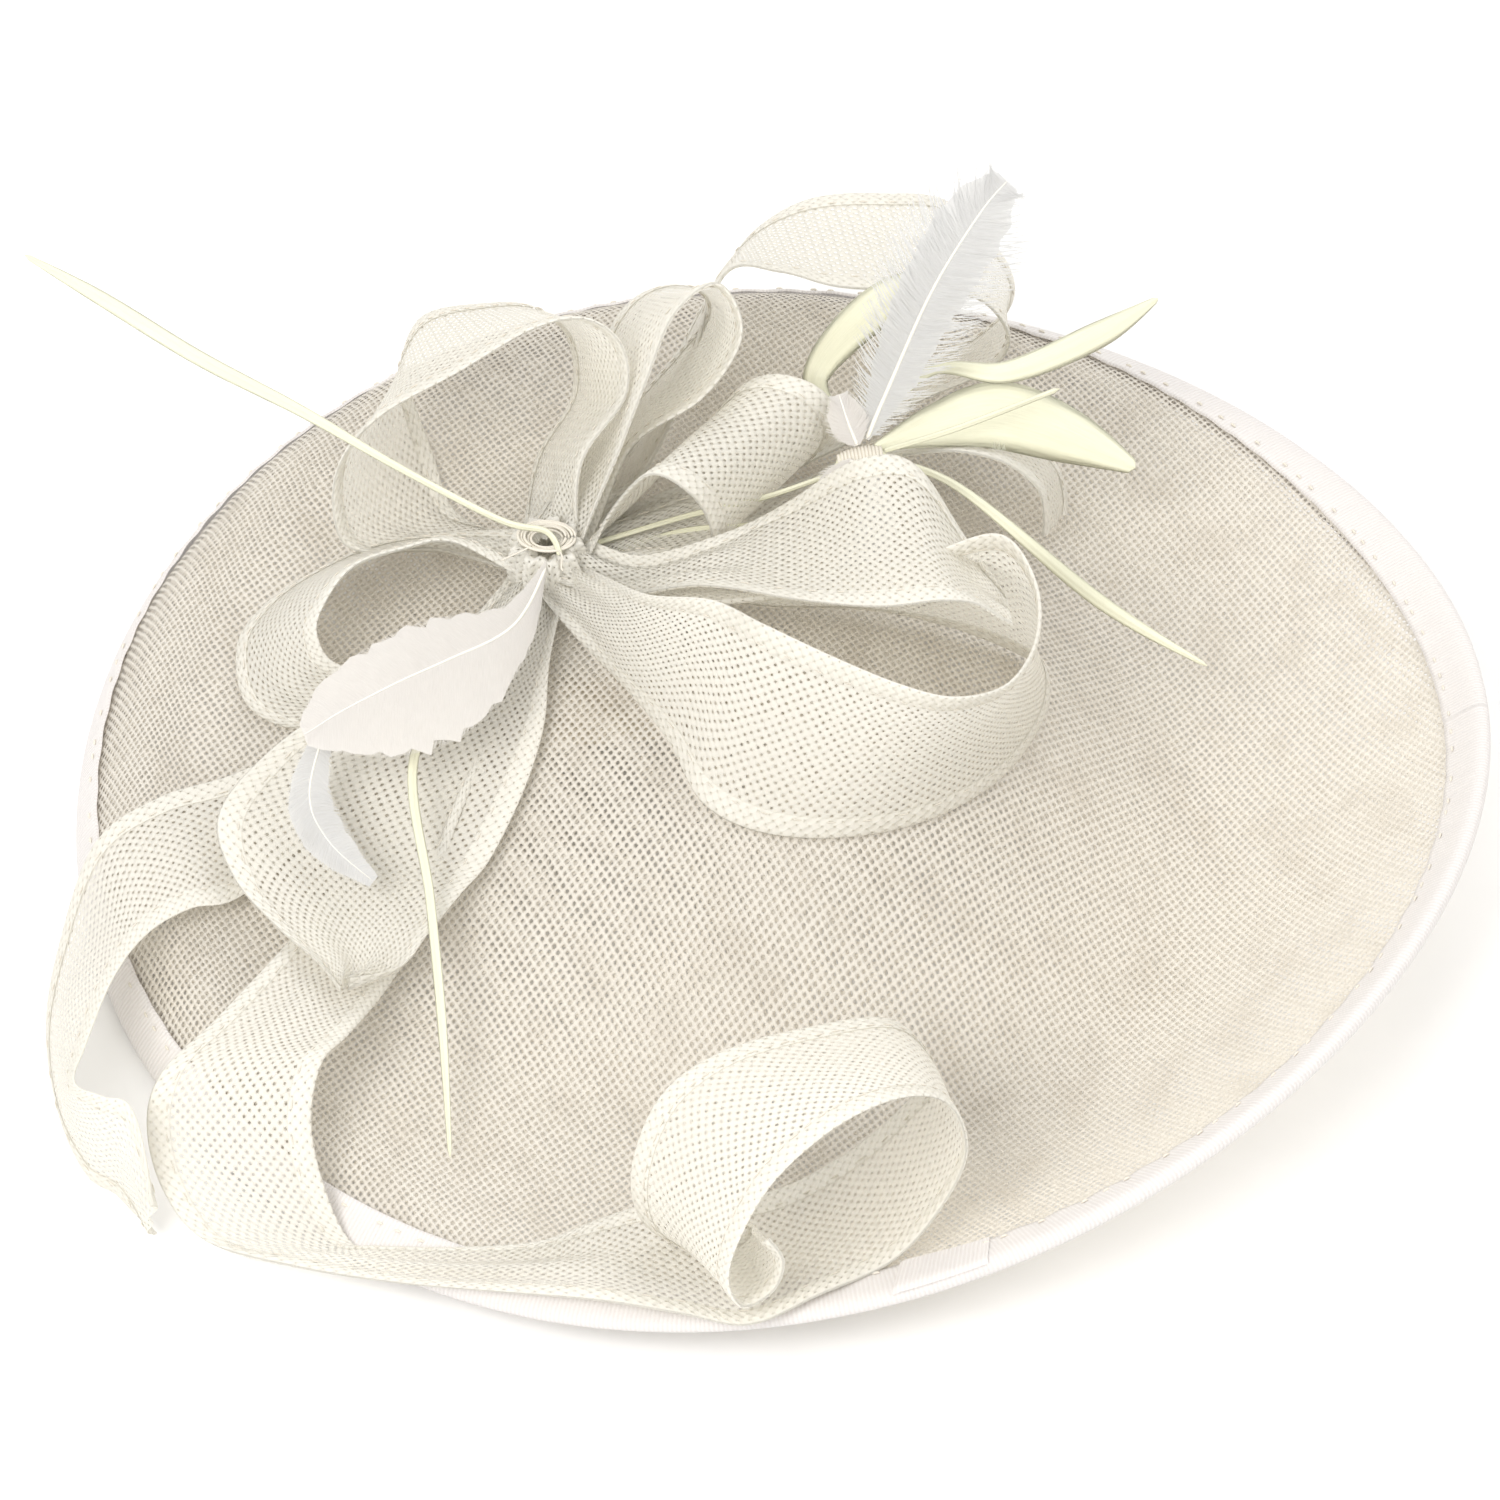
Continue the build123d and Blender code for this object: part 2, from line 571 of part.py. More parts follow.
with BuildPart() as loop_back:
    loft(sections=sections(strip_rows(LOOP_BACK, start=10.8, end=6.5), SINAMAY_T), ruled=True, clean=False)
    add(bow_heart.part, mode=Mode.SUBTRACT)
    add(loop_left.part, mode=Mode.SUBTRACT)
    add(loop_small.part, mode=Mode.SUBTRACT)
    add(loop_far.part, mode=Mode.SUBTRACT)
    add(loop_right.part, mode=Mode.SUBTRACT)
    add(stem_upper.part, mode=Mode.SUBTRACT)
loop_back_run = loop_back.part.solids().sort_by(SortBy.VOLUME)[-1]
loop_back_run.label = "loop_back"
export_step(loop_back_run, "parts/loop_back.step")

with BuildPart() as loop_front:
    loft(sections=sections(strip_rows(LOOP_FRONT, start=6.5, end=2.6), SINAMAY_T), ruled=True, clean=False)
    add(bow_heart.part, mode=Mode.SUBTRACT)
    add(loop_far.part, mode=Mode.SUBTRACT)
    add(stem_lower.part, mode=Mode.SUBTRACT)
    add(leaf_front.part, mode=Mode.SUBTRACT)
loop_front.part.label = "loop_front"
export_step(loop_front.part, "parts/loop_front.step")

with BuildPart() as leaf_right:
    loft(sections=sections(strip_rows(LEAF_RIGHT, start=9.5), SINAMAY_T), ruled=True, clean=False)
    add(bow_heart.part, mode=Mode.SUBTRACT)
    add(loop_right.part, mode=Mode.SUBTRACT)
    add(loop_front.part, mode=Mode.SUBTRACT)
leaf_right.part.label = "leaf_right"
export_step(leaf_right.part, "parts/leaf_right.step")

# ---------------------------------------------------------------- feathers and quills
with BuildPart() as feather_front:
    loft(sections=sections(smoothed([(on_hat(a), on_hat(b)) for a, b in FEATHER_FRONT]), FEATHER_T), ruled=True, clean=False)
    add(bow_heart.part, mode=Mode.SUBTRACT)
feather_front.part.label = "feather_front"
export_step(feather_front.part, "parts/feather_front.step")

with BuildPart() as feather_small:
    loft(sections=sections(blade_rows(FEATHER_SMALL), FEATHER_T), ruled=True, clean=False)
    add(feather_front.part, mode=Mode.SUBTRACT)
feather_small.part.label = "feather_small"
export_step(feather_small.part, "parts/feather_small.step")

with BuildPart() as plume_tall:
    loft(sections=sections(blade_rows(PLUME_TALL), FEATHER_T), ruled=True, clean=False)
    add(spray_thread.part, mode=Mode.SUBTRACT)
plume_tall.part.label = "plume_tall"
export_step(plume_tall.part, "parts/plume_tall.step")

with BuildPart() as feather_upper:
    loft(sections=sections(blade_rows(FEATHER_UPPER), FEATHER_T), ruled=True, clean=False)
    add(spray_thread.part, mode=Mode.SUBTRACT)
    add(plume_tall.part, mode=Mode.SUBTRACT)
feather_upper.part.label = "feather_upper"
export_step(feather_upper.part, "parts/feather_upper.step")

with BuildPart() as feather_lower:
    loft(sections=sections(blade_rows(FEATHER_LOWER), FEATHER_T), ruled=True, clean=False)
    add(spray_thread.part, mode=Mode.SUBTRACT)
feather_lower.part.label = "feather_lower"
export_step(feather_lower.part, "parts/feather_lower.step")

with BuildPart() as feather_wisp:
    loft(sections=sections(blade_rows(FEATHER_WISP), FEATHER_T), ruled=True, clean=False)
    add(spray_thread.part, mode=Mode.SUBTRACT)
feather_wisp.part.label = "feather_wisp"
export_step(feather_wisp.part, "parts/feather_wisp.step")

with BuildPart() as quill_left:
    loft(sections=sections(blade_rows(QUILL_LEFT), QUILL_T), ruled=True, clean=False)
    add(bow_heart.part, mode=Mode.SUBTRACT)
quill_left.part.label = "quill_left"
export_step(quill_left.part, "parts/quill_left.step")

with BuildPart() as quill_low:
    loft(sections=sections(blade_rows(QUILL_LOW), QUILL_T), ruled=True, clean=False)
    add(bow_heart.part, mode=Mode.SUBTRACT)
quill_low.part.label = "quill_low"
export_step(quill_low.part, "parts/quill_low.step")

with BuildPart() as quill_right:
    loft(sections=sections(blade_rows(QUILL_RIGHT), QUILL_T), ruled=True, clean=False)
    add(spray_thread.part, mode=Mode.SUBTRACT)
quill_right.part.label = "quill_right"
export_step(quill_right.part, "parts/quill_right.step")

with BuildPart() as quill_upper:
    loft(sections=sections(blade_rows(QUILL_UPPER), QUILL_T), ruled=True, clean=False)
    add(spray_thread.part, mode=Mode.SUBTRACT)
quill_upper.part.label = "quill_upper"
export_step(quill_upper.part, "parts/quill_upper.step")

with BuildPart() as quill_broad:
    loft(sections=sections(blade_rows(QUILL_BROAD), QUILL_T), ruled=True, clean=False)
    add(spray_thread.part, mode=Mode.SUBTRACT)
quill_broad.part.label = "quill_broad"
export_step(quill_broad.part, "parts/quill_broad.step")

with BuildPart() as quill_pale:
    loft(sections=sections(blade_rows(QUILL_PALE), QUILL_T), ruled=True, clean=False)
    add(spray_thread.part, mode=Mode.SUBTRACT)
    add(loop_right.part, mode=Mode.SUBTRACT)
quill_pale.part.label = "quill_pale"
export_step(quill_pale.part, "parts/quill_pale.step")

with BuildPart() as quill_thread:
    loft(sections=sections(blade_rows(QUILL_THREAD), QUILL_T), ruled=True, clean=False)
    add(spray_thread.part, mode=Mode.SUBTRACT)
quill_thread.part.label = "quill_thread"
export_step(quill_thread.part, "parts/quill_thread.step")

# ---------------------------------------------------------------- sprung clip under the crown
PAD_OFF = LAYER_GAP / 2 + LAYER_T + 0.35 + 1.4 / 2


def pad_row(x):
    """Edges of the sewn-on patch at one place along the clip, following the inside of the crown."""
    low = min(saucer_z(x * K, 0), saucer_z(x * K, 11 * K), saucer_z(x * K, -11 * K)) - PAD_OFF * 1.03
    return (Vector(HAT_X + x * K, HAT_Y - 10, low), Vector(HAT_X + x * K, HAT_Y + 10, low))


with BuildPart() as clip_pad:
    loft(sections=sections([pad_row(x) for x in range(2, -64, -5)], 1.4), ruled=True, clean=False)
clip_pad.part.label = "clip_pad"
export_step(clip_pad.part, "parts/clip_pad.step")

PAD_HIGH = pad_row(-8)[0].Z - 1.4 / 2
PAD_LOW = pad_row(-57)[0].Z - 1.4 / 2
CLIP_SLOPE = math.atan2(PAD_HIGH - PAD_LOW, 49 * K)
PIN_X = -20 * K
PIN_DROP = 2.8
JAW_TOP = PAD_HIGH - (-8 * K - PIN_X) * math.tan(CLIP_SLOPE) - 0.25 - CLIP_T
CLIP = Plane(
    origin=(HAT_X + PIN_X, HAT_Y, JAW_TOP),
    x_dir=(-math.cos(CLIP_SLOPE), 0, -math.sin(CLIP_SLOPE)),
    z_dir=(0, -1, 0),
)
LUG_T = 0.7
EAR_Y = CLIP_W / 2 - LUG_T
CHEEK_Y = EAR_Y - 0.45 - LUG_T
PIN_Z = -PIN_DROP

with BuildPart() as clip_fixed_jaw:
    with BuildSketch(CLIP.offset(-CLIP_W / 2)):
        with Locations(((CLIP_FRONT - CLIP_TAIL) / 2, UP * CLIP_T / 2)):
            Rectangle(CLIP_FRONT + CLIP_TAIL, CLIP_T)
    extrude(amount=CLIP_W)
    with BuildSketch(CLIP.offset(EAR_Y), CLIP.offset(-CLIP_W / 2)):
        with BuildLine():
            Polyline((-2.6, 0), (2.6, 0), (1.6, UP * (PIN_Z - 1.6)), (-1.6, UP * (PIN_Z - 1.6)), close=True)
        make_face()
    extrude(amount=LUG_T)
    with BuildSketch(CLIP.offset(-CLIP_W)):
        with Locations((0, UP * PIN_Z)):
            Circle(PIN_D / 2 + 0.1)
    extrude(amount=2 * CLIP_W, mode=Mode.SUBTRACT)
clip_fixed_jaw.part.label = "clip_fixed_jaw"
export_step(clip_fixed_jaw.part, "parts/clip_fixed_jaw.step")

with BuildPart() as clip_moving_jaw:
    with BuildSketch(CLIP.offset(CHEEK_Y), CLIP.offset(-CHEEK_Y - LUG_T)):
        with BuildLine():
            Polyline(
                (-3.4, UP * (PIN_Z - 2.6)), (-1.2, UP * (PIN_Z + 1.7)), (1.6, UP * (PIN_Z + 1.9)), (4.2, UP * -0.8),
                (4.2, UP * -1.6), (1.8, UP * (PIN_Z - 1.7)), close=True,
            )
        make_face()
    extrude(amount=LUG_T)
    with BuildSketch(CLIP.offset(-CLIP_W * 0.42)):
        with Locations(((CLIP_FRONT + 3.2) / 2, UP * -1.2)):
            Rectangle(CLIP_FRONT - 3.2, CLIP_T)
    extrude(amount=CLIP_W * 0.84)
    with BuildSketch(CLIP.offset(-CHEEK_Y - LUG_T)):
        with BuildLine():
            Polyline(
                (-2.6, UP * (PIN_Z - 1.3)), (-2.2, UP * (PIN_Z - 2.1)), (-CLIP_TAIL + 1, UP * (PIN_Z - 8.2)),
                (-CLIP_TAIL + 0.6, UP * (PIN_Z - 7.5)), close=True,
            )
        make_face()
    extrude(amount=2 * (CHEEK_Y + LUG_T))
    with BuildSketch(CLIP.offset(-CLIP_W)):
        with Locations((0, UP * PIN_Z)):
            Circle(PIN_D / 2 + 0.1)
    extrude(amount=2 * CLIP_W, mode=Mode.SUBTRACT)
clip_moving_jaw.part.label = "clip_moving_jaw"
export_step(clip_moving_jaw.part, "parts/clip_moving_jaw.step")

with BuildPart() as clip_pin:
    with BuildSketch(CLIP.offset(-CLIP_W / 2 - 0.4)):
        with Locations((0, UP * PIN_Z)):
            Circle(PIN_D / 2)
    extrude(amount=CLIP_W + 0.8)
clip_pin.part.label = "clip_pin"
export_step(clip_pin.part, "parts/clip_pin.step")

COIL_R = PIN_D / 2 + 0.35 + SPRING_WIRE / 2
COIL_W = 2 * CHEEK_Y - 1.2
PIN_AT = CLIP.origin - CLIP.y_dir * (UP * -PIN_Z)
with BuildPart() as clip_spring:
    with BuildLine() as coil:
        Helix(
            pitch=COIL_W / 4, height=COIL_W, radius=COIL_R,
            center=PIN_AT - Vector(0, COIL_W / 2, 0), direction=(0, 1, 0),
        )
    with BuildSketch(Plane(origin=coil.line @ 0, z_dir=coil.line % 0)):
        Circle(SPRING_WIRE / 2)
    sweep()
clip_spring.part.label = "clip_spring"
export_step(clip_spring.part, "parts/clip_spring.step")
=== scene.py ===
"""Looks of a saucer-shaped woven headpiece with a looped bow, feathers, quills and a sprung clip."""

import logging
import math
from dataclasses import dataclass, field
from enum import Enum
from typing import Callable, Iterable, Sequence

import bpy
import numpy as np
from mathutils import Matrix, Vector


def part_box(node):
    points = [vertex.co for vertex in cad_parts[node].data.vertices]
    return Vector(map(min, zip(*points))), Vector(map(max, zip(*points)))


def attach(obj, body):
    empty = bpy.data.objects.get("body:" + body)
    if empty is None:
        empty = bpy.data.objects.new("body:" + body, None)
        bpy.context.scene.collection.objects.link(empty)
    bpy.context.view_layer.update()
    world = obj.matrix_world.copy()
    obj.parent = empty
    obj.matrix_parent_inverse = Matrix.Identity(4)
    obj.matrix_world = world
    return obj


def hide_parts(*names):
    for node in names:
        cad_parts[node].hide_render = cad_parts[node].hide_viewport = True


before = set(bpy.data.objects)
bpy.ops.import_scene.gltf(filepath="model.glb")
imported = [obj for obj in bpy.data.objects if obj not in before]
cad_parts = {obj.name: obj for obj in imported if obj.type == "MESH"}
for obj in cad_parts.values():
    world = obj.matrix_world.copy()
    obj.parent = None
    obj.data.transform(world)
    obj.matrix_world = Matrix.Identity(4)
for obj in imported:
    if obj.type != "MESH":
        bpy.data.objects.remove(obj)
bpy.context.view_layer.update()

LOG = logging.getLogger("headpiece")
MM = 0.001
HAT_X, HAT_Y = 6.8, 1.4
RIM_R = 151.5
GATHER_W = 13.0
HEART_R = 8.0
FACING = np.array([0.0, -0.64, 0.77])

Array = np.ndarray
Station = tuple[tuple[float, float, float], tuple[float, float, float]]


class Slot(Enum):
    """Material slots of the record."""

    SINAMAY = "sinamay"
    BOW = "bow_cloth"
    BINDING = "binding"
    WIRE = "wire"
    THREAD = "thread"
    FEATHER_GREY = "feather_grey"
    FEATHER_CREAM = "feather_cream"
    QUILL = "quill"
    PATCH = "patch"
    STEEL = "clip_steel"
    SPRING = "spring_steel"


# ------------------------------------------------------------------ shape of the saucer
def saucer_z(x: Array, y: Array) -> Array:
    """Height of the middle of the saucer.

    Args:
        x: distances to the right of the saucer's centre, mm.
        y: distances behind the saucer's centre, mm.

    Returns:
        Heights above the table, mm.
    """
    r = np.minimum(np.hypot(x, y), RIM_R)
    lift = (1 + np.cos(np.arctan2(y, x) - math.radians(-32))) / 2
    low = 1 - lift
    foot = 92 + 22 * low**1.5
    brim = 20 * low**1.2
    t = np.minimum(r / foot, 1)
    crown = (38 - brim) * (1 - t**2.4) ** 2
    rise = 45 * lift**3.5 * np.maximum((r - foot) / (RIM_R - foot), 0) ** 1.7
    roll = np.maximum((r - (RIM_R - 16)) / 16, 0)
    return 0.9 + brim * (1 - roll**1.8) + crown + rise - 0.72 * roll


def saucer_normal(x: Array, y: Array) -> Array:
    """Unit normals of the saucer, pointing up."""
    e = 0.2
    r = np.maximum(np.hypot(x, y), 1e-6)
    k = np.minimum(1, (RIM_R - 0.3) / r)
    x, y = x * k, y * k
    gx = (saucer_z(x + e, y) - saucer_z(x - e, y)) / (2 * e)
    gy = (saucer_z(x, y + e) - saucer_z(x, y - e)) / (2 * e)
    n = np.stack([-gx, -gy, np.ones_like(gx)], -1)
    return n / np.linalg.norm(n, axis=-1, keepdims=True)


def on_hat(points: Sequence[Sequence[float]]) -> Array:
    """World millimetres of points given in plan and in height over the saucer."""
    p = np.array(points, float)
    z = saucer_z(p[:, 0], p[:, 1]) + p[:, 2]
    return np.stack([p[:, 0] + HAT_X, p[:, 1] + HAT_Y, z], 1)


def rim_radii(azimuth: Array, distances: Sequence[float]) -> Array:
    """Radii of the points lying given distances in from the rim, along the cloth.

    Args:
        azimuth: directions round the saucer, radians.
        distances: distances from the rim, mm.

    Returns:
        Array of radii, one row per direction.
    """
    radii = np.arange(RIM_R, RIM_R - 16, -0.2)
    rows = []
    for a in azimuth:
        z = saucer_z(radii * math.cos(a), radii * math.sin(a))
        run = np.concatenate([[0], np.cumsum(np.hypot(np.diff(radii), np.diff(z)))])
        rows.append(np.interp(distances, run, radii))
    return np.array(rows)


HEART = on_hat([(-50, 34, 0)])[0]
HEART_Z = HEART[2] + 4.2
SPRAY = on_hat([(18, 57, 23)])[0]


def unit(v: Array) -> Array:
    """Vectors scaled to length one."""
    return v / np.maximum(np.linalg.norm(v, axis=-1, keepdims=True), 1e-9)


def smooth_path(points: Array, steps: int) -> Array:
    """A smooth curve through points, with several samples between each two."""
    p = np.vstack([points[:1], points, points[-1:]])
    t = np.linspace(0, 1, steps, endpoint=False)[:, None]
    parts = []
    for i in range(1, len(p) - 2):
        a, b, c, d = p[i - 1], p[i], p[i + 1], p[i + 2]
        parts.append(0.5 * (2 * b + (c - a) * t + (2 * a - 5 * b + 4 * c - d) * t**2 + (3 * b - a - 3 * c + d) * t**3))
    return np.vstack(parts + [p[-2:-1]])


def along(points: Array) -> Array:
    """Distance run along a line of points."""
    return np.concatenate([[0], np.cumsum(np.linalg.norm(np.diff(points, axis=0), axis=1))])


# ------------------------------------------------------------------ meshes
@dataclass
class MeshBuilder:
    """Collects grids and tubes in millimetres and turns them into one object."""

    name: str
    verts: list[Array] = field(default_factory=list)
    faces: list[tuple[int, ...]] = field(default_factory=list)
    uvs: list[Array] = field(default_factory=list)
    slots: list[int] = field(default_factory=list)
    count: int = 0

    def grid(self, points: Array, uv: Array, slot: int = 0, wrap_u: bool = False, wrap_v: bool = False) -> None:
        """Adds a rectangular patch of quads.

        Args:
            points: positions, shape (nu, nv, 3), mm.
            uv: texture positions, shape (nu, nv, 2).
            slot: index of the material.
            wrap_u: joins the last row to the first.
            wrap_v: joins the last column to the first.
        """
        nu, nv = points.shape[:2]
        start = self.count
        self.verts.append(points.reshape(-1, 3))
        self.uvs.append(uv.reshape(-1, 2))
        self.count += nu * nv
        iu = np.arange(nu if wrap_u else nu - 1)
        iv = np.arange(nv if wrap_v else nv - 1)
        a, b = np.meshgrid(iu, iv, indexing="ij")
        a2, b2 = (a + 1) % nu, (b + 1) % nv
        quads = np.stack([a * nv + b, a2 * nv + b, a2 * nv + b2, a * nv + b2], -1).reshape(-1, 4) + start
        self.faces.extend(map(tuple, quads.tolist()))
        self.slots.extend([slot] * len(quads))

    def tube(self, path: Array, radius: float | Array, slot: int = 0, sides: int = 8, flat: float = 1.0) -> None:
        """Adds a round or flattened tube with closed ends along a path."""
        radius = np.broadcast_to(np.asarray(radius, float), (len(path),)).copy()
        run = unit(np.gradient(path, axis=0))
        side = unit(np.cross(run, FACING))
        up = np.cross(side, run)
        a = np.linspace(0, 2 * math.pi, sides, endpoint=False)
        radius[0] *= 0.05
        radius[-1] *= 0.05
        ring = side[:, None] * np.cos(a)[None, :, None] + up[:, None] * (np.sin(a) * flat)[None, :, None]
        pts = path[:, None] + ring * radius[:, None, None]
        s = along(path)
        uv = np.stack(np.broadcast_arrays(s[:, None], (a * radius.mean())[None, :]), -1)
        self.grid(pts, uv, slot, wrap_v=True)

    def build(self, materials: Iterable[bpy.types.Material], smooth: bool = True) -> bpy.types.Object:
        """Makes the object, in metres, with its texture positions and materials."""
        title = self.name.replace(" ", "_") + "_made"
        mesh = bpy.data.meshes.new(title)
        verts = np.vstack(self.verts) * MM
        mesh.from_pydata(verts.tolist(), [], self.faces)
        layer = mesh.uv_layers.new(name="Cloth")
        index = np.empty(len(mesh.loops), np.int32)
        mesh.loops.foreach_get("vertex_index", index)
        layer.data.foreach_set("uv", np.vstack(self.uvs)[index].astype(np.float32).ravel())
        mesh.polygons.foreach_set("material_index", np.array(self.slots, np.int32))
        mesh.polygons.foreach_set("use_smooth", np.full(len(self.slots), smooth))
        for material in materials:
            mesh.materials.append(material)
        mesh.update()
        obj = bpy.data.objects.new(title, mesh)
        bpy.context.scene.collection.objects.link(obj)
        return obj


# ------------------------------------------------------------------ finishes
class Nodes:
    """Short way of writing a material's node tree."""

    def __init__(self, name: str) -> None:
        """Starts an empty material."""
        self.material = bpy.data.materials.new(name)
        self.material.use_nodes = True
        self.tree = self.material.node_tree
        self.tree.nodes.clear()

    def add(self, kind: str, **values: object) -> bpy.types.Node:
        """Adds a node; sets its properties, then its input sockets by name with underscores as spaces."""
        node = self.tree.nodes.new(kind)
        for key, value in values.items():
            if hasattr(node, key):
                setattr(node, key, value)
                continue
            socket = node.inputs[int(key[1:])] if key[0] == "i" and key[1:].isdigit() else node.inputs[key.replace("_", " ")]
            if isinstance(value, bpy.types.NodeSocket):
                self.tree.links.new(value, socket)
            else:
                socket.default_value = value
        return node

    def math(self, operation: str, a: object, b: object = 0.0, c: object = 0.0) -> bpy.types.NodeSocket:
        """One arithmetic step on numbers or sockets."""
        return self.add("ShaderNodeMath", operation=operation, i0=a, i1=b, i2=c).outputs[0]

    def mix(self, factor: object, a: object, b: object) -> bpy.types.NodeSocket:
        """Mixes two colours."""
        node = self.add("ShaderNodeMix", data_type="RGBA")
        for socket, value in ((node.inputs[0], factor), (node.inputs[6], a), (node.inputs[7], b)):
            if isinstance(value, bpy.types.NodeSocket):
                self.tree.links.new(value, socket)
            else:
                socket.default_value = value
        return node.outputs[2]

    def noise(self, vector: bpy.types.NodeSocket, scale: float, detail: float = 2.0) -> bpy.types.NodeSocket:
        """Soft noise from 0 to 1."""
        return self.add("ShaderNodeTexNoise", Vector=vector, Scale=scale, Detail=detail).outputs["Fac"]

    def finish(self, shader: bpy.types.NodeSocket) -> bpy.types.Material:
        """Connects the shader and returns the material."""
        self.add("ShaderNodeOutputMaterial", Surface=shader)
        return self.material


@dataclass(frozen=True)
class WovenStraw:
    """Open plain weave of stiffened straw threads with round holes between them."""

    name: str
    colour: tuple[float, float, float]
    hole: float = 0.27
    turn: float = 0.0
    through: float = 0.35
    wander: float = 0.35
    pitch: float = 1.75
    patches: float = 0.0

    def build(self) -> bpy.types.Material:
        """Makes the material from texture positions counted in millimetres."""
        n = Nodes(self.name)
        uv = n.add("ShaderNodeUVMap", uv_map="Cloth").outputs[0]
        turned = n.add("ShaderNodeVectorRotate", Vector=uv, Angle=self.turn, rotation_type="Z_AXIS").outputs[0]
        scaled = n.add("ShaderNodeVectorMath", operation="SCALE", i0=turned, Scale=1 / self.pitch).outputs[0]
        drift = n.add("ShaderNodeTexNoise", Vector=scaled, Scale=0.35, Detail=2.0).outputs["Color"]
        drift = n.add("ShaderNodeVectorMath", operation="SUBTRACT", i0=drift, i1=(0.5, 0.5, 0.5)).outputs[0]
        drift = n.add("ShaderNodeVectorMath", operation="SCALE", i0=drift, Scale=self.wander).outputs[0]
        place = n.add("ShaderNodeVectorMath", operation="ADD", i0=scaled, i1=drift).outputs[0]
        xyz = n.add("ShaderNodeSeparateXYZ", Vector=place)
        u, v = xyz.outputs[0], xyz.outputs[1]
        fu, fv = n.math("FRACT", u), n.math("FRACT", v)
        du = n.math("ABSOLUTE", n.math("SUBTRACT", fu, 0.5))
        dv = n.math("ABSOLUTE", n.math("SUBTRACT", fv, 0.5))
        parity = n.math("FLOORED_MODULO", n.math("ADD", n.math("FLOOR", n.math("ADD", u, 0.5)), n.math("FLOOR", n.math("ADD", v, 0.5))), 2.0)
        far = n.math("POWER", n.math("ADD", n.math("POWER", du, 2.6), n.math("POWER", dv, 2.6)), 1 / 2.6)
        vary = n.noise(place, 0.8, 1.0)
        size = n.math("MULTIPLY", n.math("ADD", vary, 0.5), self.hole)
        hole = n.math("LESS_THAN", far, size)
        rim = n.add("ShaderNodeMapRange", Value=n.math("SUBTRACT", far, size), i1=0.0, i2=0.16, i3=0.0, i4=1.0).outputs[0]
        warp = n.math("SUBTRACT", 1.0, n.math("POWER", n.math("MULTIPLY", n.math("SUBTRACT", 0.5, du), 2.0), 2.0))
        weft = n.math("SUBTRACT", 1.0, n.math("POWER", n.math("MULTIPLY", n.math("SUBTRACT", 0.5, dv), 2.0), 2.0))
        over = n.math("ADD", n.math("MULTIPLY", parity, warp), n.math("MULTIPLY", n.math("SUBTRACT", 1.0, parity), weft))
        streak_u = n.add("ShaderNodeVectorMath", operation="MULTIPLY", i0=place, i1=(14.0, 0.7, 1.0)).outputs[0]
        streak_v = n.add("ShaderNodeVectorMath", operation="MULTIPLY", i0=place, i1=(0.7, 14.0, 1.0)).outputs[0]
        fibre_u, fibre_v = n.noise(streak_u, 1.0, 3.0), n.noise(streak_v, 1.0, 3.0)
        fibre = n.math("ADD", n.math("MULTIPLY", parity, fibre_u), n.math("MULTIPLY", n.math("SUBTRACT", 1.0, parity), fibre_v))
        height = n.math("ADD", n.math("MULTIPLY", over, 0.8), n.math("MULTIPLY", fibre, 0.35))
        height = n.math("MULTIPLY", height, rim)
        c = self.colour
        dark = (c[0] * 0.93, c[1] * 0.915, c[2] * 0.88, 1)
        light = (min(c[0] * 1.05, 0.95), min(c[1] * 1.05, 0.95), min(c[2] * 1.07, 0.95), 1)
        tone = n.mix(fibre, dark, light)
        # Colour darkens towards each hole's edge: painted shade where the threads dip into the holes.
        tone = n.mix(n.math("MULTIPLY", n.math("SUBTRACT", 1.0, rim), 0.15), tone, (c[0] * 0.7, c[1] * 0.66, c[2] * 0.55, 1))
        cloud = n.add("ShaderNodeMapRange", Value=n.noise(scaled, 0.11, 2.0), i1=0.5, i2=0.68, i3=0.0, i4=self.patches).outputs[0]
        tone = n.mix(cloud, tone, (c[0] * 0.82, c[1] * 0.8, c[2] * 0.76, 1))
        bump = n.add("ShaderNodeBump", Strength=0.6, Distance=0.0004, Height=height).outputs[0]
        skin = n.add("ShaderNodeBsdfPrincipled", Base_Color=tone, Roughness=0.5, Normal=bump)
        skin.inputs["Specular IOR Level"].default_value = 0.25
        glow = n.add("ShaderNodeBsdfTranslucent", Color=tone, Normal=bump).outputs[0]
        body = n.add("ShaderNodeMixShader", i0=self.through, i1=skin.outputs[0], i2=glow).outputs[0]
        clear = n.add("ShaderNodeBsdfTransparent").outputs[0]
        return n.finish(n.add("ShaderNodeMixShader", i0=hole, i1=body, i2=clear).outputs[0])


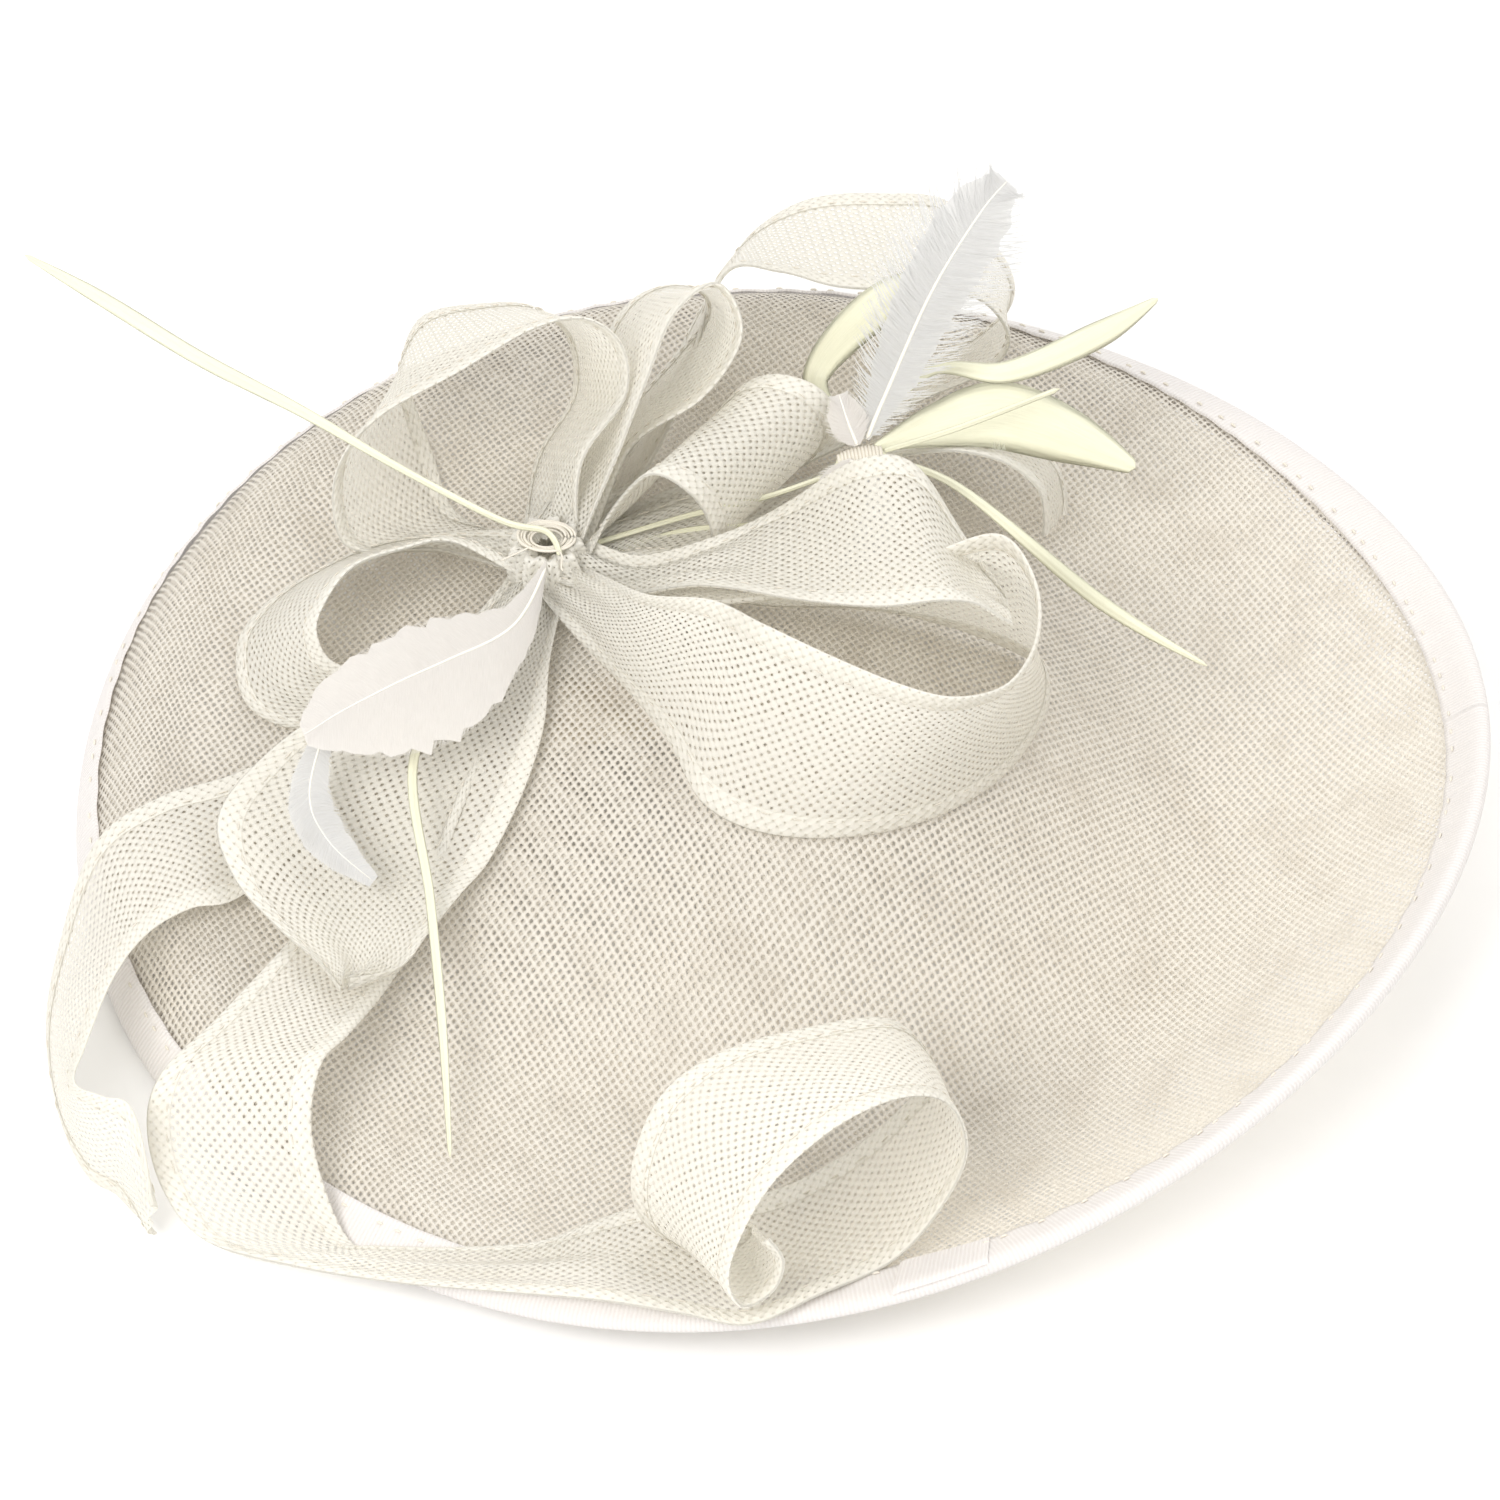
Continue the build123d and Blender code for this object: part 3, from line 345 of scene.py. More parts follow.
@dataclass(frozen=True)
class RibbedRibbon:
    """Grosgrain ribbon: fine ribs across its run, with a slight slubby unevenness."""

    name: str
    colour: tuple[float, float, float]
    rib: float = 0.95

    def build(self) -> bpy.types.Material:
        """Makes the material; ribs follow the first texture direction, in millimetres."""
        n = Nodes(self.name)
        uv = n.add("ShaderNodeUVMap", uv_map="Cloth").outputs[0]
        xyz = n.add("ShaderNodeSeparateXYZ", Vector=uv)
        cloud = n.noise(uv, 0.25, 3.0)
        phase = n.math("ADD", n.math("MULTIPLY", xyz.outputs[0], 2 * math.pi / self.rib), n.math("MULTIPLY", cloud, 1.6))
        rib = n.math("MULTIPLY", n.math("ADD", n.math("SINE", phase), 1.0), 0.5)
        weave = n.math("SINE", n.math("MULTIPLY", xyz.outputs[1], 2 * math.pi / 0.35))
        fine = n.noise(uv, 3.0, 4.0)
        height = n.math("ADD", rib, n.math("ADD", n.math("MULTIPLY", weave, 0.12), n.math("MULTIPLY", fine, 0.4)))
        c = self.colour
        # Colour is darker in the rib troughs, which is painted shade in the grooves, and also varies with the fine
        # noise as random tone.
        tone = n.mix(n.math("ADD", n.math("MULTIPLY", rib, 0.5), n.math("MULTIPLY", fine, 0.5)), (c[0] * 0.86, c[1] * 0.84, c[2] * 0.82, 1), (c[0], c[1], c[2], 1))
        bump = n.add("ShaderNodeBump", Strength=0.4, Distance=0.0003, Height=height).outputs[0]
        skin = n.add("ShaderNodeBsdfPrincipled", Base_Color=tone, Roughness=0.6, Normal=bump)
        skin.inputs["Sheen Weight"].default_value = 0.2
        glow = n.add("ShaderNodeBsdfTranslucent", Color=tone, Normal=bump).outputs[0]
        return n.finish(n.add("ShaderNodeMixShader", i0=0.2, i1=skin.outputs[0], i2=glow).outputs[0])


@dataclass(frozen=True)
class Barbs:
    """Feather barbs: thin, translucent, streaked along their length."""

    name: str
    colour: tuple[float, float, float]
    through: float = 0.45

    def build(self) -> bpy.types.Material:
        """Makes the material."""
        n = Nodes(self.name)
        uv = n.add("ShaderNodeUVMap", uv_map="Cloth").outputs[0]
        stretched = n.add("ShaderNodeVectorMath", operation="MULTIPLY", i0=uv, i1=(0.35, 6.0, 1.0)).outputs[0]
        streak = n.noise(stretched, 1.0, 4.0)
        cloud = n.noise(uv, 0.12, 2.0)
        c = self.colour
        tone = n.mix(streak, (c[0] * 0.8, c[1] * 0.79, c[2] * 0.77, 1), (c[0], c[1], c[2], 1))
        tone = n.mix(n.math("MULTIPLY", cloud, 0.25), tone, (c[0] * 0.86, c[1] * 0.88, c[2] * 0.9, 1))
        bump = n.add("ShaderNodeBump", Strength=0.4, Distance=0.0003, Height=streak).outputs[0]
        skin = n.add("ShaderNodeBsdfPrincipled", Base_Color=tone, Roughness=0.55, Normal=bump)
        skin.inputs["Sheen Weight"].default_value = 0.3
        glow = n.add("ShaderNodeBsdfTranslucent", Color=tone, Normal=bump).outputs[0]
        return n.finish(n.add("ShaderNodeMixShader", i0=self.through, i1=skin.outputs[0], i2=glow).outputs[0])


@dataclass(frozen=True)
class Solid:
    """A grained solid finish for quills, thread, felt or metal."""

    name: str
    colour: tuple[float, float, float]
    roughness: float
    metal: float = 0.0
    grain: tuple[float, float, float] = (1.0, 1.0, 1.0)
    scale: float = 1.0
    depth: float = 0.0002
    contrast: float = 0.15
    by_place: bool = False

    def build(self) -> bpy.types.Material:
        """Makes the material."""
        n = Nodes(self.name)
        if self.by_place:
            base = n.add("ShaderNodeTexCoord").outputs["Object"]
            base = n.add("ShaderNodeVectorMath", operation="SCALE", i0=base, Scale=1000.0).outputs[0]
        else:
            base = n.add("ShaderNodeUVMap", uv_map="Cloth").outputs[0]
        stretched = n.add("ShaderNodeVectorMath", operation="MULTIPLY", i0=base, i1=self.grain).outputs[0]
        grain = n.noise(stretched, self.scale, 5.0)
        c = self.colour
        k = 1 - self.contrast
        tone = n.mix(grain, (c[0] * k, c[1] * k, c[2] * k * 0.97, 1), (c[0], c[1], c[2], 1))
        rough = n.math("ADD", n.math("MULTIPLY", grain, 0.2), self.roughness - 0.1)
        bump = n.add("ShaderNodeBump", Strength=0.4, Distance=self.depth, Height=grain).outputs[0]
        skin = n.add("ShaderNodeBsdfPrincipled", Base_Color=tone, Roughness=rough, Metallic=self.metal, Normal=bump)
        return n.finish(skin.outputs[0])


@dataclass
class Finishes:
    """Every finish of the headpiece, made once."""

    made: dict[str, bpy.types.Material] = field(default_factory=dict)

    def __getitem__(self, name: str) -> bpy.types.Material:
        """The material of that name."""
        return self.made[name]

    def build(self) -> "Finishes":
        """Makes all the materials."""
        cream = (0.93, 0.885, 0.82)
        straw = (0.95, 0.918, 0.85)
        finishes = [
            WovenStraw("Saucer top", cream, 0.29, 0.0, 0.4, pitch=1.5, patches=0.4),
            WovenStraw("Saucer under", cream, 0.28, 0.07, 0.4, pitch=1.5, patches=0.4),
            WovenStraw("Bow web", straw, 0.18, math.radians(45), 0.4),
            WovenStraw("Bow hem", straw, 0.10, math.radians(45), 0.3),
            RibbedRibbon("Binding ribbon", (0.94, 0.915, 0.905)),
            Barbs("Grey barbs", (0.86, 0.86, 0.86)),
            Barbs("Cream barbs", (0.94, 0.915, 0.89)),
            Solid("Feather shaft", (0.92, 0.90, 0.84), 0.4, grain=(0.15, 6.0, 1.0), contrast=0.1),
            Solid("Quill skin", (0.88, 0.87, 0.68), 0.35, grain=(0.15, 6.0, 1.0), depth=0.0002, contrast=0.18),
            Solid("Sewing thread", (0.86, 0.81, 0.72), 0.7, grain=(3.0, 3.0, 1.0), contrast=0.25),
            Solid("Felt", (0.80, 0.75, 0.66), 0.9, grain=(2.5, 2.5, 2.5), depth=0.0004, contrast=0.2),
            Solid("Nickelled steel", (0.62, 0.61, 0.59), 0.32, 1.0, (0.3, 6.0, 6.0), 1.0, 0.00004, 0.2, True),
            Solid("Spring wire", (0.45, 0.45, 0.46), 0.4, 1.0, (4.0, 4.0, 4.0), 1.0, 0.00004, 0.2, True),
            Solid("Millinery wire", (0.7, 0.68, 0.64), 0.5, 0.6, (4.0, 4.0, 4.0), 1.0, 0.00004, 0.2, True),
        ]
        for finish in finishes:
            self.made[finish.name] = finish.build()
        return self


def settle(obj: bpy.types.Object, nodes: Iterable[str], body: str = "hat") -> bpy.types.Object:
    """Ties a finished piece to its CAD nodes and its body."""
    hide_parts(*nodes)
    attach(obj, body)
    return obj


# ------------------------------------------------------------------ saucer
@dataclass
class Saucer:
    """The bound saucer: two woven layers and the ribbon round their edge."""

    finishes: Finishes
    turns: int = 260
    rings: int = 90

    def layer(self, name: str, node: str, off: float, warp: float, weft: float, finish: str) -> bpy.types.Object:
        """One woven layer.

        Args:
            name: name of the piece.
            node: CAD node it stands for.
            off: distance above the middle of the cloth, mm.
            warp: direction of one set of threads, degrees.
            weft: direction of the other set.
            finish: name of the finish.

        Returns:
            The finished piece.
        """
        az = np.linspace(0, 2 * math.pi, self.turns, endpoint=False)
        end = rim_radii(az, [2.8])[:, 0]
        share = np.linspace(0, 1, self.rings) ** 0.9
        r = share[:, None] * (end[None, :] - 0.5) + 0.5
        x, y = r * np.cos(az)[None, :], r * np.sin(az)[None, :]
        wave = 0.25 * np.sin(x / 9.0 + 1.3) * np.sin(y / 11.0 + off)
        normal = saucer_normal(x, y)
        points = np.stack([x, y, saucer_z(x, y)], -1) + normal * (off + wave)[..., None]
        points += np.array([HAT_X, HAT_Y, 0])
        down = np.maximum(r - 128, 0) * 0.45 * np.maximum(1 - (1 + np.cos(az + math.radians(32))) / 2, 0)[None, :]
        px, py = (r + down) * np.cos(az)[None, :], (r + down) * np.sin(az)[None, :]
        a, b = math.radians(warp), math.radians(weft)
        uv = np.stack([-px * math.sin(a) + py * math.cos(a), -px * math.sin(b) + py * math.cos(b)], -1)
        builder = MeshBuilder(name)
        builder.grid(points, uv, wrap_v=True)
        obj = builder.build([self.finishes[finish]])
        return settle(obj, [node])

    def binding(self) -> bpy.types.Object:
        """The ribbon folded over the edge, with its stitches and its lapped end."""
        count = 900
        az = np.linspace(0, 2 * math.pi, count, endpoint=False)
        rng = np.random.default_rng(4)
        s = np.array([10.6, 10.5, 9.4, 7.0, 4.5, 2.5, 1.2, 0.35, 0.0, 0.35, 1.2, 2.5, 4.5, 7.0, 9.4, 10.4, 10.5])
        off = np.array([1.15, 1.75, 1.8, 1.85, 1.9, 1.85, 1.6, 0.9, 0.0, -0.9, -1.6, -1.85, -1.9, -1.85, -1.8, -1.7, -1.15])
        ease = np.cumsum(rng.normal(0, 1, count))
        ease = np.real(np.fft.ifft(np.fft.fft(ease - ease.mean()) * (np.abs(np.fft.fftfreq(count, 1 / count)) < 60)))
        wobble = 0.35 * ease / max(np.abs(ease).max(), 1e-6)
        pucker = 0.14 * np.sin(az * 95 + 2 * np.sin(az * 7))
        radii = rim_radii(az, s.tolist())
        x, y = radii * np.cos(az)[:, None], radii * np.sin(az)[:, None]
        inner = np.clip((s - 2.0) / 8.0, 0, 1)
        lift = np.sign(off) * inner * (pucker[:, None] + 0.15 * wobble[:, None])
        points = np.stack([x, y, saucer_z(x, y)], -1) + saucer_normal(x, y) * (off[None, :] * 0.98 + lift)[..., None]
        out = np.stack([np.cos(az), np.sin(az), np.zeros(count)], -1)[:, None]
        points += out * ((1 - inner) * 0.0)[None, :, None] + np.array([HAT_X, HAT_Y, 0])
        across = np.concatenate([[0], np.cumsum(np.hypot(np.diff(s), np.diff(off)))])
        uv = np.stack(np.broadcast_arrays((az * RIM_R)[:, None], across[None, :]), -1)
        builder = MeshBuilder("edge ribbon")
        builder.grid(points, uv, wrap_u=True)
        self.lap(builder)
        self.stitches(builder)
        obj = builder.build([self.finishes["Binding ribbon"], self.finishes["Sewing thread"]])
        return settle(obj, ["edge_binding"])

    def lap(self, builder: MeshBuilder) -> None:
        """Adds the folded end where the ribbon overlaps itself."""
        az = np.radians(np.linspace(-80.5, -73.0, 26))
        s = np.linspace(10.4, 0.3, 14)
        t = np.linspace(0, 1, 26)
        skew = (az[:, None] + (s[None, :] - 5) * 0.0022)
        pts = []
        for i, row in enumerate(skew):
            radii = np.array([rim_radii(np.array([a]), [d])[0, 0] for a, d in zip(row, s)])
            x, y = radii * np.cos(row), radii * np.sin(row)
            raise_ = 2.15 + 0.35 * math.sin(math.pi * min(t[i] * 6, 0.5)) - 0.55 * max(t[i] - 0.3, 0)
            pinch = np.where(s < 1.4, 0.55 + 0.45 * s / 1.4, 1.0)
            pts.append(np.stack([x, y, saucer_z(x, y)], -1) + saucer_normal(x, y) * (raise_ * pinch)[:, None])
        pts = np.array(pts) + np.array([HAT_X, HAT_Y, 0])
        uv = np.stack(np.broadcast_arrays((t * 20)[:, None], s[None, :]), -1)
        builder.grid(pts, uv)
        skirt = np.stack([pts[0], pts[0] - saucer_normal(pts[0][:, 0] - HAT_X, pts[0][:, 1] - HAT_Y) * 0.5])
        builder.grid(skirt, np.zeros((2, len(s), 2)))

    def stitches(self, builder: MeshBuilder) -> None:
        """Adds the small stitches along the inner edge of the ribbon."""
        for k in range(132):
            a = 2 * math.pi * (k + 0.3 * math.sin(k * 1.7)) / 132
            ends = np.array([a, a + 0.012])
            radii = rim_radii(ends, [8.6])[:, 0]
            x, y = radii * np.cos(ends), radii * np.sin(ends)
            base = np.stack([x, y, saucer_z(x, y)], -1) + np.array([HAT_X, HAT_Y, 0])
            normal = saucer_normal(x, y)
            t = np.linspace(0, 1, 5)[:, None]
            line = base[:1] * (1 - t) + base[1:] * t + normal[:1] * (1.85 + 0.22 * np.sin(math.pi * t))
            builder.tube(line, 0.28, 1, 6)

    def build(self) -> None:
        """Builds both layers and the ribbon, and finishes the wire."""
        self.layer("upper layer", "saucer_top_layer", 0.55, -60, 44, "Saucer top")
        self.layer("under layer", "saucer_under_layer", -0.55, -57, 38, "Saucer under")
        self.binding()
        dress_node("brim_wire", self.finishes["Millinery wire"])


def dress_node(node: str, material: bpy.types.Material) -> None:
    """Gives a CAD node its finish."""
    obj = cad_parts[node]
    obj.data.materials.clear()
    obj.data.materials.append(material)


# ------------------------------------------------------------------ strips of the bow
@dataclass
class Strip:
    """One woven strip with a turned hem along each edge."""

    node: str
    route: list[Station]
    start: float | None = None
    end: float | None = None
    hem: float = 5.6
    steps: int = 9
    seed: int = 0

    def rows(self) -> tuple[Array, Array]:
        """Near and far edges at closely spaced stations, mm."""
        near = on_hat([r[0] for r in self.route])
        far = on_hat([r[1] for r in self.route])
        if self.start is not None:
            near[0], far[0] = self.knot_end(self.start, near[1], far[1])
        if self.end is not None:
            near[-1], far[-1] = self.knot_end(self.end, near[-2], far[-2])
        return smooth_path(near, self.steps), smooth_path(far, self.steps)

    def knot_end(self, level: float, near: Array, far: Array) -> tuple[Array, Array]:
        """The gathered end of the strip inside the knot.

        Args:
            level: height of the end above the foot of the knot, mm.
            near: near edge at the next station.
            far: far edge at the next station.

        Returns:
            Both edges of the end.
        """
        out = (near + far) / 2 - HEART
        out[2] = 0
        out = unit(out)
        side = np.array([-out[1], out[0], 0]) * (GATHER_W / 2)
        centre = np.array([HEART[0], HEART[1], HEART_Z + level]) + out * (HEART_R * 0.6)
        ends = (centre + side, centre - side)
        straight = np.linalg.norm(ends[0] - near) + np.linalg.norm(ends[1] - far)
        crossed = np.linalg.norm(ends[1] - near) + np.linalg.norm(ends[0] - far)
        return ends if straight <= crossed else (ends[1], ends[0])

    def build(self, finishes: Finishes) -> bpy.types.Object:
        """Makes the web, both hems and their stitching as one piece."""
        near, far = self.rows()
        across = unit(far - near)
        width = np.linalg.norm(far - near, axis=1)
        middle = (near + far) / 2
        run = unit(np.gradient(middle, axis=0))
        run = unit(run - across * np.sum(run * across, 1)[:, None])
        normal = np.cross(across, run)
        s = along(middle)
        full = width.max()
        gather = np.clip(1 - width / (0.8 * full), 0, 1)
        rng = np.random.default_rng(self.seed)
        phase = rng.uniform(0, 6)

        def shift(u: Array) -> Array:
            """Distance off the plain strip at places across it: gathers near the knot, slight cockling elsewhere."""
            pleat = gather[:, None] * 1.7 * np.sin(2 * math.pi * 2.5 * u[None, :] + phase)
            cockle = 0.35 * np.sin(s[:, None] / 8.5 + phase + 2 * u[None, :]) * np.sin(math.pi * u[None, :] * 2 + phase)
            arch = 0.035 * width[:, None] * np.sin(math.pi * u[None, :]) * np.sin(s[:, None] / 60 + phase)
            return pleat + cockle + arch

        def surface(u: Array, lift: Array) -> Array:
            """Points at shares u across the strip, raised by lift."""
            base = near[:, None] * (1 - u)[None, :, None] + far[:, None] * u[None, :, None]
            return base + normal[:, None] * (shift(u) + lift[None, :])[..., None]

        def cloth(u: Array) -> Array:
            """Texture positions in millimetres of cloth."""
            return np.stack(np.broadcast_arrays(u[None, :] * full, s[:, None]), -1)

        builder = MeshBuilder(self.node.replace("_", " "))
        h = min(self.hem / full, 0.3)
        web = np.linspace(h * 0.8, 1 - h * 0.8, 17)
        builder.grid(surface(web, np.zeros(17)), cloth(web), 0)
        fold_u = np.array([1.0, 0.75, 0.5, 0.2, 0.06, 0.0, 0.06, 0.2, 0.5, 0.75, 1.0]) * h
        fold_z = np.array([-0.2, -0.42, -0.45, -0.45, -0.3, 0.0, 0.3, 0.45, 0.45, 0.42, 0.2])
        for flip in (False, True):
            u = 1 - fold_u if flip else fold_u
            builder.grid(surface(u, fold_z), cloth(np.where(fold_z < 0, 2 * h * (not flip) + 0.0 * u + u, u)), 1)
            self.seam(builder, near, far, normal, shift, 1 - h * 0.86 if flip else h * 0.86, s)
        obj = builder.build([finishes["Bow web"], finishes["Bow hem"], finishes["Sewing thread"]])
        area = float(np.sum(np.diff(s) * (width[1:] + width[:-1]) / 2)) * 1e-6
        flat = (float(full) * MM, float(s[-1]) * MM)
        area = min(max(area, 0.31 * flat[0] * flat[1]), flat[0] * flat[1])
        return settle(obj, [self.node])

    def seam(self, builder: MeshBuilder, near: Array, far: Array, normal: Array, shift: Callable[[Array], Array], u: float, s: Array) -> None:
        """Adds the running stitch that holds one hem."""
        line = near * (1 - u) + far * u + normal * shift(np.array([u]))[:, 0][:, None]
        total = s[-1]
        for k in range(int(total / 3.4)):
            a, b = k * 3.4 + 0.6, k * 3.4 + 2.7
            t = np.linspace(a, min(b, total), 4)
            path = np.stack([np.interp(t, s, line[:, i]) for i in range(3)], 1)
            up = np.stack([np.interp(t, s, normal[:, i]) for i in range(3)], 1)
            builder.tube(path + up * 0.5, 0.16, 2, 4)
            if k % 2 == 0:
                builder.tube(path - up * 0.5, 0.16, 2, 4)


# ------------------------------------------------------------------ knot
@dataclass
class Knot:
    """The gathered heart of the bow with its thread and the cut ends of quills."""

    finishes: Finishes

    def heart(self) -> bpy.types.Object:
        """The puckered lump of cloth."""
        az = np.linspace(0, 2 * math.pi, 160, endpoint=False)
        v = np.linspace(0, 1, 26)
        r = HEART_R * (0.78 + 0.25 * np.sin(math.pi * np.clip(v * 0.95 + 0.05, 0, 1)))
        fold = 1 + 0.13 * np.sin(az[:, None] * 9 + 2.2 * v[None, :]) * (0.5 + v[None, :] / 2) + 0.05 * np.sin(az[:, None] * 23 + v[None, :] * 5)
        rad = r[None, :] * fold
        rad = rad * np.where(v > 0.9, 1 - (v - 0.9) * 5.5, 1)[None, :]
        z = HEART_Z - 1.0 + 14.6 * np.minimum(v, 0.93) / 0.93 - np.where(v > 0.93, (v - 0.93) * 45, 0)
        pts = np.stack([HEART[0] + rad * np.cos(az)[:, None], HEART[1] + rad * np.sin(az)[:, None], np.broadcast_to(z[None, :], rad.shape)], -1)
        uv = np.stack(np.broadcast_arrays((az * 8.0)[:, None], (v * 22)[None, :]), -1)
        builder = MeshBuilder("bow heart")
        builder.grid(pts, uv, wrap_u=True)
        obj = builder.build([self.finishes["Bow hem"]])
        return settle(obj, ["bow_heart"])

    def thread(self) -> bpy.types.Object:
        """Turns of thread over the top of the knot, with two loose ends."""
        builder = MeshBuilder("bow thread")
        top = np.array([HEART[0], HEART[1], HEART_Z + 13.6])
        for k in range(5):
            t = np.linspace(0, 2 * math.pi, 40)
            tilt = 0.5 * math.sin(k * 2.1)
            ring = np.stack([(3.4 + 0.7 * k) * np.cos(t), (2.6 + 0.5 * k) * np.sin(t), 0.5 * k * 0.4 + tilt * np.sin(t + k)], 1)
            builder.tube(top + ring, 0.32, 0, 7)
        for sx, sy in ((-1.0, -0.7), (0.5, -1.0)):
            t = np.linspace(0, 1, 14)[:, None]
            line = top + np.array([[sx * 3, sy * 3, 0.4]]) + t * np.array([[sx * 6, sy * 7, 0.5]]) + np.sin(t * 5) * np.array([[0.8, -0.5, 0.9]])
            builder.tube(line, 0.2, 0, 6)
        obj = builder.build([self.finishes["Sewing thread"]])
        return settle(obj, ["bow_thread"])

    def wrap(self) -> bpy.types.Object:
        """The whipping that holds the spray of feathers together."""
        builder = MeshBuilder("spray thread")
        axis = unit(np.array([0.98, 0.18, 0.08]))
        side = unit(np.cross(axis, [0, 0, 1.0]))
        up = np.cross(side, axis)
        t = np.linspace(0, 1, 260)
        turn = t * 2 * math.pi * 13
        r = 3.0 - 1.2 * np.abs(t - 0.5) ** 2 * 3
        centre = SPRAY - np.array([5, 1, 0.5]) + axis * 10 * t[:, None]
        path = centre + side * (r * np.cos(turn))[:, None] + up * (r * np.sin(turn))[:, None]
        builder.tube(path, 0.42, 0, 6)
        core = np.linspace(-1.0, 11.0, 9)[:, None] * axis + SPRAY - np.array([5, 1, 0.5])
        builder.tube(core, 2.5, 1, 12)
        obj = builder.build([self.finishes["Sewing thread"], self.finishes["Quill skin"]])
        return settle(obj, ["spray_thread"])

    def build(self) -> None:
        """Builds the knot."""
        self.heart()
        self.thread()
        self.wrap()


# ------------------------------------------------------------------ feathers and quills
@dataclass
class Quill:
    """A stripped quill: a narrow blade with a raised shaft and a fine point."""

    node: str
    route: list[tuple[float, float, float, float]]
    curl: float = 0.5
    slim: float = 1.0

    def build(self, finishes: Finishes) -> bpy.types.Object:
        """Makes the blade with a ridge along its middle."""
        raw = np.array(self.route, float)
        spine = smooth_path(on_hat(raw[:, :3]), 10)
        width = smooth_path(raw[:, 3:], 10)[:, 0]
        run = unit(np.gradient(spine, axis=0))
        side = unit(np.cross(run, FACING))
        up = np.cross(side, run)
        s = along(spine)
        half = np.maximum(width * self.slim / 2, 0.12)
        half[0], half[-1] = half[0] * 0.8, 0.1
        twist = 0.25 * np.sin(s / max(s[-1], 1) * 5 + self.curl)
        flat = side * np.cos(twist)[:, None] + up * np.sin(twist)[:, None]
        lift = np.cross(flat, run)
        lift = lift * np.sign(np.sum(lift * up, 1))[:, None]
        ridge = np.clip(0.5 - 0.25 * s / s[-1], 0.12, 0.5)
        shape = [(-1.0, 0.0), (-0.55, 0.18), (-0.22, 0.35), (0.0, 1.0), (0.22, 0.35), (0.55, 0.18), (1.0, 0.0), (0.5, -0.35), (0.0, -0.7), (-0.5, -0.35)]
        pts = np.stack([spine + flat * (half * a)[:, None] + lift * (ridge * b)[:, None] for a, b in shape], 1)
        uv = np.stack(np.broadcast_arrays(s[:, None], (np.arange(len(shape)) * 0.8)[None, :]), -1)
        builder = MeshBuilder(self.node.replace("_", " "))
        builder.grid(pts, uv, wrap_v=True)
        obj = builder.build([finishes["Quill skin"]])
        return settle(obj, [self.node])


@dataclass
class Feather:
    """A feather with a curved shaft and hundreds of separate barbs."""

    node: str
    slot: Slot
    finish: str
    count: int = 150
    loose: float = 0.25
    lean: float = 1.1
    thick: float = 0.9
    membrane: float = 0.85
    seed: int = 1

    def outline(self) -> tuple[Array, Array, Array]:
        """Shaft, left edge and right edge of the vane, mm."""
        raise NotImplementedError

    def build(self, finishes: Finishes) -> bpy.types.Object:
        """Makes the shaft and the barbs as one piece."""
        shaft, left, right = self.outline()
        rng = np.random.default_rng(self.seed)
        run = unit(np.gradient(shaft, axis=0))
        s = along(shaft)
        builder = MeshBuilder(self.node.replace("_", " "))
        radius = np.linspace(0.75, 0.18, len(shaft)) * self.thick
        builder.tube(shaft, radius, 1, 8)
        t = np.linspace(0, 1, 7)[:, None]
        for edge, sign in ((left, 1.0), (right, -1.0)):
            self.vane(builder, shaft, edge, s, sign, rng)
            for k in range(self.count):
                share = (k + rng.uniform(-0.4, 0.4)) / self.count
                at = np.clip(share, 0.02, 0.995) * s[-1]
                root = np.array([np.interp(at, s, shaft[:, i]) for i in range(3)])
                heading = unit(np.array([np.interp(at, s, run[:, i]) for i in range(3)]))
                ahead = min(at + self.lean * np.linalg.norm(np.array([np.interp(at, s, edge[:, i]) for i in range(3)]) - root), s[-1])
                tip = np.array([np.interp(ahead, s, edge[:, i]) for i in range(3)])
                reach = tip - root
                length = np.linalg.norm(reach)
                if length < 0.8:
                    continue
                normal = unit(np.cross(heading, reach)) * sign
                stray = self.loose * length * rng.normal(0, 0.16, 3)
                bow = heading * length * 0.16 + normal * length * rng.uniform(0.0, 0.10)
                path = root + reach * t + bow * (t * (1 - t)) * -1.5 + stray * t**2 * (0.4 + 0.6 * rng.uniform())
                wide = unit(np.cross(normal, unit(reach)))
                w = (0.55 + 0.35 * rng.uniform()) * (1 - 0.8 * t**2) * max(s[-1] / self.count * 1.15, 0.45)
                strip = np.stack([path - wide * w / 2, path + wide * w / 2], 1)
                uv = np.stack(np.broadcast_arrays(t * length, np.array([[0.0, 1.0]]) * w.mean() + k * 1.3), -1)
                builder.grid(strip, uv, 0)
        obj = builder.build([finishes[self.finish], finishes["Feather shaft"]])
        return settle(obj, [self.node])

    def vane(self, builder: MeshBuilder, shaft: Array, edge: Array, s: Array, sign: float, rng: np.random.Generator) -> None:
        """Adds the closed part of the vane on one side, where the barbs hold together."""
        if self.membrane <= 0:
            return
        w = np.linspace(0, 1, 14)
        ragged = self.membrane * (1 + 0.05 * np.sin(s * 0.9) + 0.03 * rng.normal(0, 1, len(s)))
        reach = (edge - shaft) * ragged[:, None]
        normal = unit(np.cross(unit(np.gradient(shaft, axis=0)), unit(reach))) * sign
        length = np.linalg.norm(reach, axis=1)
        cup = 0.05 * length[:, None] * np.sin(math.pi * w)[None, :] + 0.12 * np.sin(s * 0.7)[:, None] * w[None, :]
        pts = shaft[:, None] + reach[:, None] * w[None, :, None] + normal[:, None] * cup[..., None]
        out = length[:, None] * w[None, :]
        builder.grid(pts, np.stack([out, np.broadcast_to(s[:, None], out.shape) - 0.5 * out], -1), 0)


